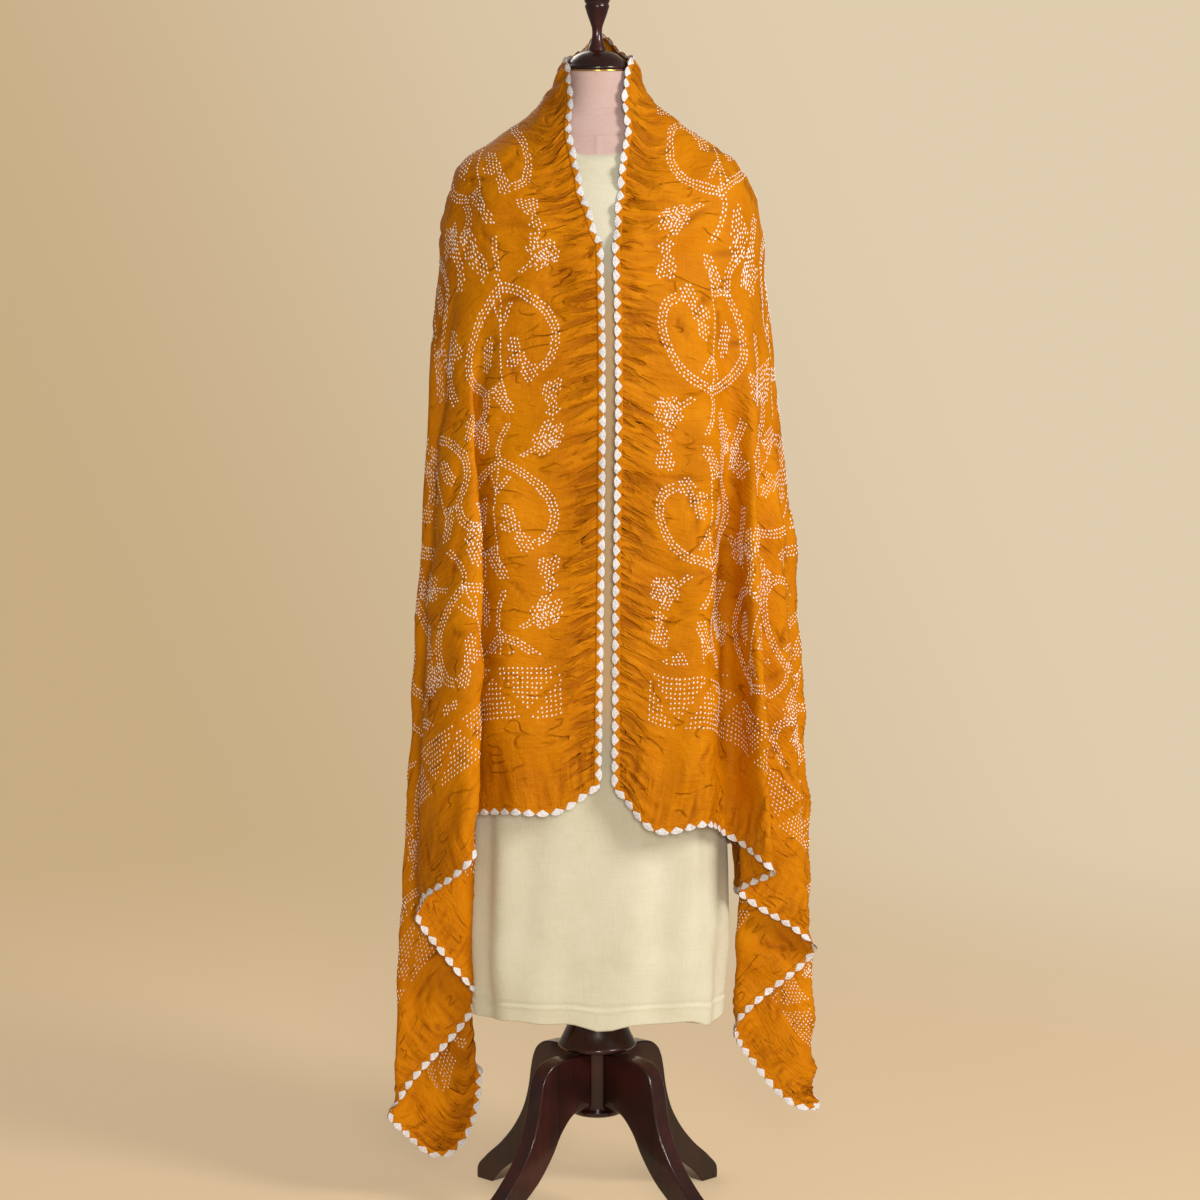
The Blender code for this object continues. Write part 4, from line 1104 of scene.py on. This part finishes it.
# Where the shawl hangs over its front, the cover is tinted with painted warm light from the mustard silk: an
# ellipsoid round the middle of that place, given by its reach to the side, forwards and up.
PAINTED_GLOW_MIDDLE = np.array((0.0, -0.12, 1.02))
PAINTED_GLOW_REACH = (0.16, 0.14, 0.36)
PAINTED_GLOW_FADE = (0.70, 1.0)
PAINTED_GLOW_TONE = "#E4C292"

# Rows of the cover and the neck, the cover's neckline, lip, turned-up hem and loose lower half, and the
# neck's seams. Linen thread is about 0.5 mm wide, too fine for the picture, so it is drawn 1.4 mm wide on the
# cover and 1.2 mm wide on the neck.
COVER_STEP, HEM_STEP, NECK_STEP = 0.0090, 0.0018, 0.0018
COVER_THREAD, NECK_THREAD, SLUB_THREADS = 0.0014, 0.0012, 14
NECKLINE_RISE, NECKLINE_REACH, NECKLINE_ROWS = 0.0055, 0.026, 3.0
COVER_LIP, LIP_ROWS, TUCKED_ROWS = 0.0012, 2.0, 5
HEM_HEIGHT, HEM_ZONE = 0.022, 0.050
HEM_RIDGE, HEM_RIDGE_WIDTH = 0.0012, 0.0022
HEM_GROOVE, HEM_GROOVE_WIDTH, HEM_GROOVE_RISE = 0.0014, 0.0030, 0.004
LOOSE_HEIGHT, LOOSE_REACH = 1.0, 0.5
UNDERSIDE_LIFT = 0.0015
SEAM_HEIGHT, SEAM_RISE, SEAM_STOP = 1.5265, 0.0014, 0.001
LEVEL_SEAM_WIDTH, FRONT_SEAM_WIDTH = 0.0014, 0.0012

# The cover's wrinkles are waves, added up. Each runs round the body and climbs it, and its share is of the
# wrinkles' height. A wave with a place in height dies out beyond its reach.
WRINKLES = 0.0032
Wave = namedtuple("Wave", "share around climb phase place reach")
WAVES = (
    Wave(1.0, 9, 2.2, 0.0, 0.0, math.inf),
    Wave(0.7, 14, -5.0, 1.3, 0.0, math.inf),
    Wave(0.6, 5, 31.0, 0.0, 0.37, 0.06),
)

# Where the hem droops at the front: how far aside of the axis, over what width, and how far down. The droop
# dies out upwards over its reach.
DROOP_REACH = 0.03
Droop = namedtuple("Droop", "aside width drop")
DROOPS = (
    Droop(-0.150, 0.030, 0.001), Droop(-0.070, 0.030, 0.004), Droop(0.006, 0.032, 0.013),
    Droop(0.085, 0.040, 0.004), Droop(0.160, 0.020, 0.012),
)


def shoulder_ring(fall):
    """One ring of the form's own shoulders, right round."""
    turn = np.linspace(0.0, 360.0, ROUND_STEPS, endpoint=False)
    return shoulder_points(turn, np.full(ROUND_STEPS, fall), 1, inset=True) + AXIS


def body_ring(section):
    """Superellipse: |x/a|^n + |y/b|^n = 1."""
    turn = np.linspace(0.0, 2 * math.pi, ROUND_STEPS, endpoint=False)
    power = 2.0 / section.squareness
    x = section.half_width * np.sign(np.sin(turn)) * np.abs(np.sin(turn)) ** power
    y = -section.half_depth * np.sign(np.cos(turn)) * np.abs(np.cos(turn)) ** power
    return np.stack([x, y, np.full(ROUND_STEPS, section.z)], axis=1) + AXIS


def round_ring(row):
    """A level circle round the form's axis."""
    turn = np.linspace(0.0, 2 * math.pi, ROUND_STEPS, endpoint=False)
    return np.stack([row.radius * np.sin(turn), -row.radius * np.cos(turn), np.full(ROUND_STEPS, row.z)],
                    axis=1) + AXIS


def lofted(rings, step, end_step, end_zone):
    """A smooth surface through rings from top to bottom: rows a step apart, closer in the end zone."""
    rings = np.array(rings)
    along = lengths_along(rings[:, 0])
    end_start = along[-1] - end_zone
    end_rows = np.linspace(end_start, along[-1], round(end_zone / end_step) + 1)
    rows = np.concatenate([np.arange(0.0, end_start, step), end_rows])
    return curve_at(along, rings.reshape(len(rings), -1), rows).reshape(len(rows), ROUND_STEPS, 3)


def towards_axis(ring, shares):
    """Copies of a ring drawn in level towards the axis, each by its share of the way."""
    middle = AXIS + (0, 0, ring[0, 2])
    return np.array([ring + (middle - ring) * share for share in shares])


def linen(name, light, dark, thread):
    """Plain-woven matt linen: crossed threads of uneven thickness, with painted shade that keeps their tops
    pale and the gaps darker, and a tone that changes at random.
    """
    finish, tree, shader = new_finish(name)
    shader.inputs["Roughness"].default_value = 0.88
    shader.inputs["Sheen Weight"].default_value = 0.10
    where = add_node(tree, "ShaderNodeTexCoord").outputs["Object"]
    heights = []
    across, along = 1 / thread, 1 / (SLUB_THREADS * thread)
    for scale in ((across, across, along), (along, along, across)):
        way = add_node(tree, "ShaderNodeMapping", {"Vector": where, "Scale": scale})
        heights.append(add_node(tree, "ShaderNodeTexNoise", {"Vector": way.outputs["Vector"], "Scale": 1.0}))
    both = add_node(tree, "ShaderNodeMath", {0: heights[0].outputs["Fac"], 1: heights[1].outputs["Fac"]})
    cloud = add_node(tree, "ShaderNodeTexNoise", {"Vector": where, "Scale": 14.0, "Detail": 3.0})
    blend = add_node(tree, "ShaderNodeMath", {
        0: both.outputs["Value"], 1: 0.55, 2: cloud.outputs["Fac"]}, operation="MULTIPLY_ADD")
    tone = add_node(tree, "ShaderNodeMapRange", {
        "Value": blend.outputs["Value"], "From Min": 0.70, "From Max": 1.35})
    colour = add_node(tree, "ShaderNodeMix", {
        0: tone.outputs["Result"], 6: linear(dark), 7: linear(light)}, data_type="RGBA")
    bump = add_node(tree, "ShaderNodeBump", {
        "Height": both.outputs["Value"], "Strength": 0.35, "Distance": 0.0005})
    tree.links.new(colour.outputs[2], shader.inputs["Base Color"])
    tree.links.new(bump.outputs["Normal"], shader.inputs["Normal"])
    return finish


rings = [shoulder_ring(fall) for fall in COVER_FALLS] + [body_ring(section) for section in BODY]
cover = lofted(rings, COVER_STEP, HEM_STEP, HEM_ZONE)
around = np.linspace(0.0, 2 * math.pi, ROUND_STEPS, endpoint=False)[None, :]
height = cover[:, :, 2]
loose = np.clip((LOOSE_HEIGHT - height) / LOOSE_REACH, 0, 1)
waves = sum(row.share * np.sin(row.around * around + row.climb * height + row.phase)
            * np.exp(-((height - row.place) / row.reach) ** 2) for row in WAVES)
hem_line = cover[-1, 0, 2] + HEM_HEIGHT
ridge = HEM_RIDGE * np.exp(-((height - hem_line) / HEM_RIDGE_WIDTH) ** 2)
groove = -HEM_GROOVE * np.exp(-((height - hem_line - HEM_GROOVE_RISE) / HEM_GROOVE_WIDTH) ** 2)
lip = COVER_LIP * np.exp(-np.arange(len(cover))[:, None] / LIP_ROWS)
out = unit((cover - AXIS) * (1, 1, 0))
cover = cover + out * (WRINKLES * loose * waves + ridge + groove + lip)[..., None]
aside = (cover - AXIS)[-1:, :, 0]
drop = sum(row.drop * np.exp(-((aside - row.aside) / row.width) ** 2) for row in DROOPS)
cover[:, :, 2] -= np.exp(-np.clip(height - cover[-1, 0, 2], 0, 1) / DROOP_REACH) * drop

# The neckline is drawn up a little at the front middle, so that it runs straight across.
climb = unit(cover[0] - cover[2])
middle = np.exp(-((cover[0] - AXIS)[:, 0] / NECKLINE_REACH) ** 2) * (cover[0, :, 1] < AXIS[1])
ease = np.exp(-np.arange(len(cover)) / NECKLINE_ROWS)
cover = cover + NECKLINE_RISE * ease[:, None, None] * middle[None, :, None] * climb[None]
top = towards_axis(cover[0], (1.0, 0.5))
underside = towards_axis(cover[-1], (0.04, 0.5, 1.0)) + (0, 0, UNDERSIDE_LIFT)
whole = np.concatenate([top, cover, underside])

cream = linen("cream linen cover", "#D0CEBB", "#C3BEA6", COVER_THREAD)
tree, shader = cream.node_tree, cream.node_tree.nodes["Principled BSDF"]
# Painted light: inside the ellipsoid the cover's colour is mixed towards a warm tone.
where = add_node(tree, "ShaderNodeTexCoord").outputs["Object"]
offset = add_node(tree, "ShaderNodeVectorMath", {
    0: where, 1: tuple(AXIS + PAINTED_GLOW_MIDDLE)}, operation="SUBTRACT")
scaled = add_node(tree, "ShaderNodeVectorMath", {
    0: offset.outputs["Vector"], 1: PAINTED_GLOW_REACH}, operation="DIVIDE")
reach = add_node(tree, "ShaderNodeVectorMath", {0: scaled.outputs["Vector"]}, operation="LENGTH")
share = add_node(tree, "ShaderNodeMapRange", {
    "Value": reach.outputs["Value"], "From Min": PAINTED_GLOW_FADE[0], "From Max": PAINTED_GLOW_FADE[1],
    "To Min": 1.0, "To Max": 0.0}, interpolation_type="SMOOTHSTEP")
plain = shader.inputs["Base Color"].links[0].from_socket
painted_glow = add_node(tree, "ShaderNodeMix", {
    0: share.outputs["Result"], 6: plain, 7: linear(PAINTED_GLOW_TONE)}, data_type="RGBA")
tree.links.new(painted_glow.outputs[2], shader.inputs["Base Color"])
body = surface("form_cover", [whole], cream, closed=(False, True))
fit_out(body, "cream_linen", "form_body")

rings = [round_ring(row) for row in NECK_TURNS] + [shoulder_ring(fall) for fall in NECK_FALLS]
neck = lofted(rings, NECK_STEP, NECK_STEP, NECK_STEP)
out = unit((neck - AXIS) * (1, 1, 0))
height = neck[:, :, 2]
level_seam = np.exp(-((height - SEAM_HEIGHT) / LEVEL_SEAM_WIDTH) ** 2)
turn = (around + math.pi) % (2 * math.pi) - math.pi
seam_share = (height < SEAM_HEIGHT) * (height > cover[0, 0, 2] + SEAM_STOP)
front_seam = np.exp(-(turn * NECK_RADIUS / FRONT_SEAM_WIDTH) ** 2) * seam_share
tucked = -3 * COVER_LIP * (np.arange(len(neck)) > len(neck) - TUCKED_ROWS)[:, None]
neck = neck + out * (SEAM_RISE * (level_seam + front_seam) + tucked)[..., None]
neck = np.concatenate([neck[:1] * (0, 0, 1) + AXIS, neck])
pink = linen("pink linen", "#C5ABA5", "#B59892", NECK_THREAD)
throat = surface("neck_linen", [neck], pink, closed=(False, True))
fit_out(throat, "pink_linen", "form_neck")


# Stand. Turned and sawn mahogany under a dark glossy varnish: cap and finial on the neck, a flanged collar
# below the body, a round column with a foot disc, and four plank legs sawn to a cabriole outline, their edges
# eased. A thin brass band closes the joint between the cap and the linen.
TURN_STEPS = 96
TURN_ROWS = 90
SHARP_ANGLE = math.radians(42)
CAP_TURNS = (
    Turn(0.0000, 1.6168), Turn(0.0425, 1.6168), Turn(0.0438, 1.6180), Turn(0.0440, 1.6205),
    Turn(0.0412, 1.6240), Turn(0.0350, 1.6315), Turn(0.0270, 1.6375), Turn(0.0180, 1.6412),
    Turn(0.0130, 1.6425), Turn(0.0000, 1.6425),
)
FINIAL_TURNS = (
    Turn(0.0000, 1.6428), Turn(0.0127, 1.6428), Turn(0.0116, 1.6465), Turn(0.0094, 1.6520),
    Turn(0.0073, 1.6597), Turn(0.0068, 1.6660), Turn(0.0074, 1.6735), Turn(0.0096, 1.6803),
    Turn(0.0125, 1.6883), Turn(0.0151, 1.6963), Turn(0.0166, 1.7040), Turn(0.0158, 1.7058),
    Turn(0.0170, 1.7080), Turn(0.0172, 1.7230), Turn(0.0170, 1.7350), Turn(0.0120, 1.7480),
    Turn(0.0070, 1.7550), Turn(0.0080, 1.7630), Turn(0.0050, 1.7700), Turn(0.0000, 1.7730),
)
COLLAR_TURNS = (
    Turn(0.0268, 0.2370), Turn(0.0400, 0.2378), Turn(0.0500, 0.2395), Turn(0.0545, 0.2420),
    Turn(0.0560, 0.2445), Turn(0.0556, 0.2470), Turn(0.0535, 0.2490), Turn(0.0480, 0.2600),
    Turn(0.0420, 0.2740), Turn(0.0410, 0.2905), Turn(0.0268, 0.2905),
)
COLUMN_TURNS = (Turn(0.0, 0.1510), Turn(0.0265, 0.1510), Turn(0.0265, 0.2912), Turn(0.0, 0.2912))
DISC_TURNS = (
    Turn(0.0, 0.1427), Turn(0.0250, 0.1429), Turn(0.0330, 0.1437), Turn(0.0368, 0.1455),
    Turn(0.0380, 0.1480), Turn(0.0378, 0.1507), Turn(0.0, 0.1507),
)
BAND_TURNS = (
    Turn(0.0432, 1.6146), Turn(0.0443, 1.6146), Turn(0.0446, 1.6154), Turn(0.0443, 1.6162),
    Turn(0.0432, 1.6162),
)
GRAIN_SPACING = 0.0035

# Mahogany, sanded and varnished: nearly black in the shade and red in the light, with small bright
# reflections from the clear coat. Its pores are about 0.3 mm wide, too fine for the picture, so the grain is
# drawn 3.5 mm wide.
wood, tree, shader = new_finish("varnished mahogany")
shader.inputs["Roughness"].default_value = 0.32
shader.inputs["Specular IOR Level"].default_value = 0.25
shader.inputs["Coat Weight"].default_value = 0.45
shader.inputs["Coat Roughness"].default_value = 0.08
where = add_node(tree, "ShaderNodeTexCoord")
grain_way = add_node(tree, "ShaderNodeMapping", {
    "Vector": where.outputs["Object"], "Scale": (1 / GRAIN_SPACING, 1 / GRAIN_SPACING, 12.0)})
grain = add_node(tree, "ShaderNodeTexNoise", {
    "Vector": grain_way.outputs["Vector"], "Scale": 1.0, "Detail": 4.0, "Distortion": 0.6})
figure = add_node(tree, "ShaderNodeTexNoise", {
    "Vector": where.outputs["Object"], "Scale": 16.0, "Detail": 2.0})
mixed = add_node(tree, "ShaderNodeMath", {
    0: grain.outputs["Fac"], 1: 0.5, 2: figure.outputs["Fac"]}, operation="MULTIPLY_ADD")
tone = add_node(tree, "ShaderNodeMapRange", {
    "Value": mixed.outputs["Value"], "From Min": 0.55, "From Max": 1.0})
colour = add_node(tree, "ShaderNodeMix", {
    0: tone.outputs["Result"], 6: linear("#140807"), 7: linear("#3A1412")}, data_type="RGBA")
tree.links.new(colour.outputs[2], shader.inputs["Base Color"])
bump = add_node(tree, "ShaderNodeBump", {
    "Height": grain.outputs["Fac"], "Strength": 0.12, "Distance": 0.0003})
tree.links.new(bump.outputs["Normal"], shader.inputs["Normal"])

# Rolled brass, polished and a little dulled by handling: a thin bright yellow line.
brass, tree, shader = new_finish("polished brass")
shader.inputs["Metallic"].default_value = 1.0
shader.inputs["Roughness"].default_value = 0.25
where = add_node(tree, "ShaderNodeTexCoord")
dull = add_node(tree, "ShaderNodeTexNoise", {"Vector": where.outputs["Object"], "Scale": 120.0})
colour = add_node(tree, "ShaderNodeMix", {
    0: dull.outputs["Fac"], 6: linear("#E2B860"), 7: linear("#B98A38")}, data_type="RGBA")
tree.links.new(colour.outputs[2], shader.inputs["Base Color"])


def turned(name, turns, finish, hollow, rows):
    """A turned surface: its profile swept round the axis, and closed on itself for a hollow ring.

    Where rows are given, the profile is a smooth curve through its inner points, in that many rows.
    """
    fine = np.array(turns)
    if rows:
        along = lengths_along(fine[1:-1])
        inner = curve_at(along, fine[1:-1], np.linspace(0, along[-1], rows))
        fine = np.vstack([fine[:1], inner, fine[-1:]])
    around = np.linspace(0.0, 2 * math.pi, TURN_STEPS, endpoint=False)[None, :]
    reach = np.maximum(fine[:, :1], 0.0)
    level = np.broadcast_to(fine[:, 1:], (len(fine), TURN_STEPS))
    points = np.stack([reach * np.cos(around), reach * np.sin(around), level], axis=-1) + AXIS
    piece = surface(name, [points[:, ::-1]], finish, closed=(hollow, True))
    piece.data.set_sharp_from_angle(angle=SHARP_ANGLE)
    return piece


Turned = namedtuple("Turned", "node turns hollow rows")
TURNED = (
    Turned("neck_cap", CAP_TURNS, False, TURN_ROWS),
    Turned("finial", FINIAL_TURNS, False, TURN_ROWS),
    Turned("collar", COLLAR_TURNS, True, 0),
    Turned("column", COLUMN_TURNS, False, 0),
    Turned("foot_disc", DISC_TURNS, False, 0),
)
for row in TURNED:
    fit_out(turned(f"{row.node}_turned", row.turns, wood, row.hollow, row.rows), "mahogany", row.node)
band = turned("brass_band", BAND_TURNS, brass, hollow=True, rows=0)
fit_out(band, "mahogany")

# Both sides of a leg's outline, from the column out to the foot: reach is the distance from the axis.
LEG_THICK = 0.026
LEG_EASE, EASE_STEPS, EASE_ANGLE = 0.0022, 3, math.radians(50)
LEG_STEPS = 90
LegPoint = namedtuple("LegPoint", "reach z")
LEG_TOP = (
    LegPoint(0.0268, 0.2345), LegPoint(0.0600, 0.2355), LegPoint(0.0830, 0.2350), LegPoint(0.1000, 0.2305),
    LegPoint(0.1120, 0.2210), LegPoint(0.1190, 0.2080), LegPoint(0.1230, 0.1930), LegPoint(0.1290, 0.1600),
    LegPoint(0.1400, 0.1270), LegPoint(0.1590, 0.0960), LegPoint(0.1880, 0.0640), LegPoint(0.2210, 0.0360),
    LegPoint(0.2370, 0.0180), LegPoint(0.2380, 0.0000),
)
LEG_UNDERSIDE = (
    LegPoint(0.2060, 0.0000), LegPoint(0.1950, 0.0130), LegPoint(0.1560, 0.0440), LegPoint(0.1250, 0.0700),
    LegPoint(0.1000, 0.1010), LegPoint(0.0800, 0.1330), LegPoint(0.0580, 0.1530), LegPoint(0.0268, 0.1560),
)


def plank_leg(number):
    """A plank leg: its outline's sides as smooth curves, its faces as rows between them, its edges eased."""
    curves = []
    for side in (LEG_TOP, LEG_UNDERSIDE[::-1]):
        points = np.array(side)
        along = lengths_along(points)
        curves.append(curve_at(along, points, np.linspace(0, along[-1], LEG_STEPS)))
    outline = np.concatenate([curves[0], curves[1][::-1]])
    angle = math.radians(45 + 90 * (number - 1))
    heading = np.array([math.cos(angle), math.sin(angle), 0])
    aside = np.array([-math.sin(angle), math.cos(angle), 0])
    flat = outline[:, :1] * heading + outline[:, 1:] * (0, 0, 1) + AXIS
    count = len(outline)
    points = np.vstack([flat + aside * LEG_THICK / 2, flat - aside * LEG_THICK / 2])
    ring = np.arange(count)
    following = np.roll(ring, -1)
    walls = np.stack([following, ring, ring + count, following + count], axis=1)
    strip = np.arange(LEG_STEPS - 1)
    face = np.stack([strip, strip + 1, count - 2 - strip, count - 1 - strip], axis=1)
    leg = meshed(f"leg_{number}_plank", points, np.vstack([walls, face, face[:, ::-1] + count]), wood)
    leg.data.shade_smooth()
    leg.data.set_sharp_from_angle(angle=SHARP_ANGLE)
    bevel = leg.modifiers.new("eased edges", "BEVEL")
    bevel.width = LEG_EASE
    bevel.segments = EASE_STEPS
    bevel.limit_method = "ANGLE"
    bevel.angle_limit = EASE_ANGLE
    bevel.harden_normals = False
    fit_out(leg, "mahogany", f"leg_{number}")


for number in (1, 2, 3, 4):
    plank_leg(number)
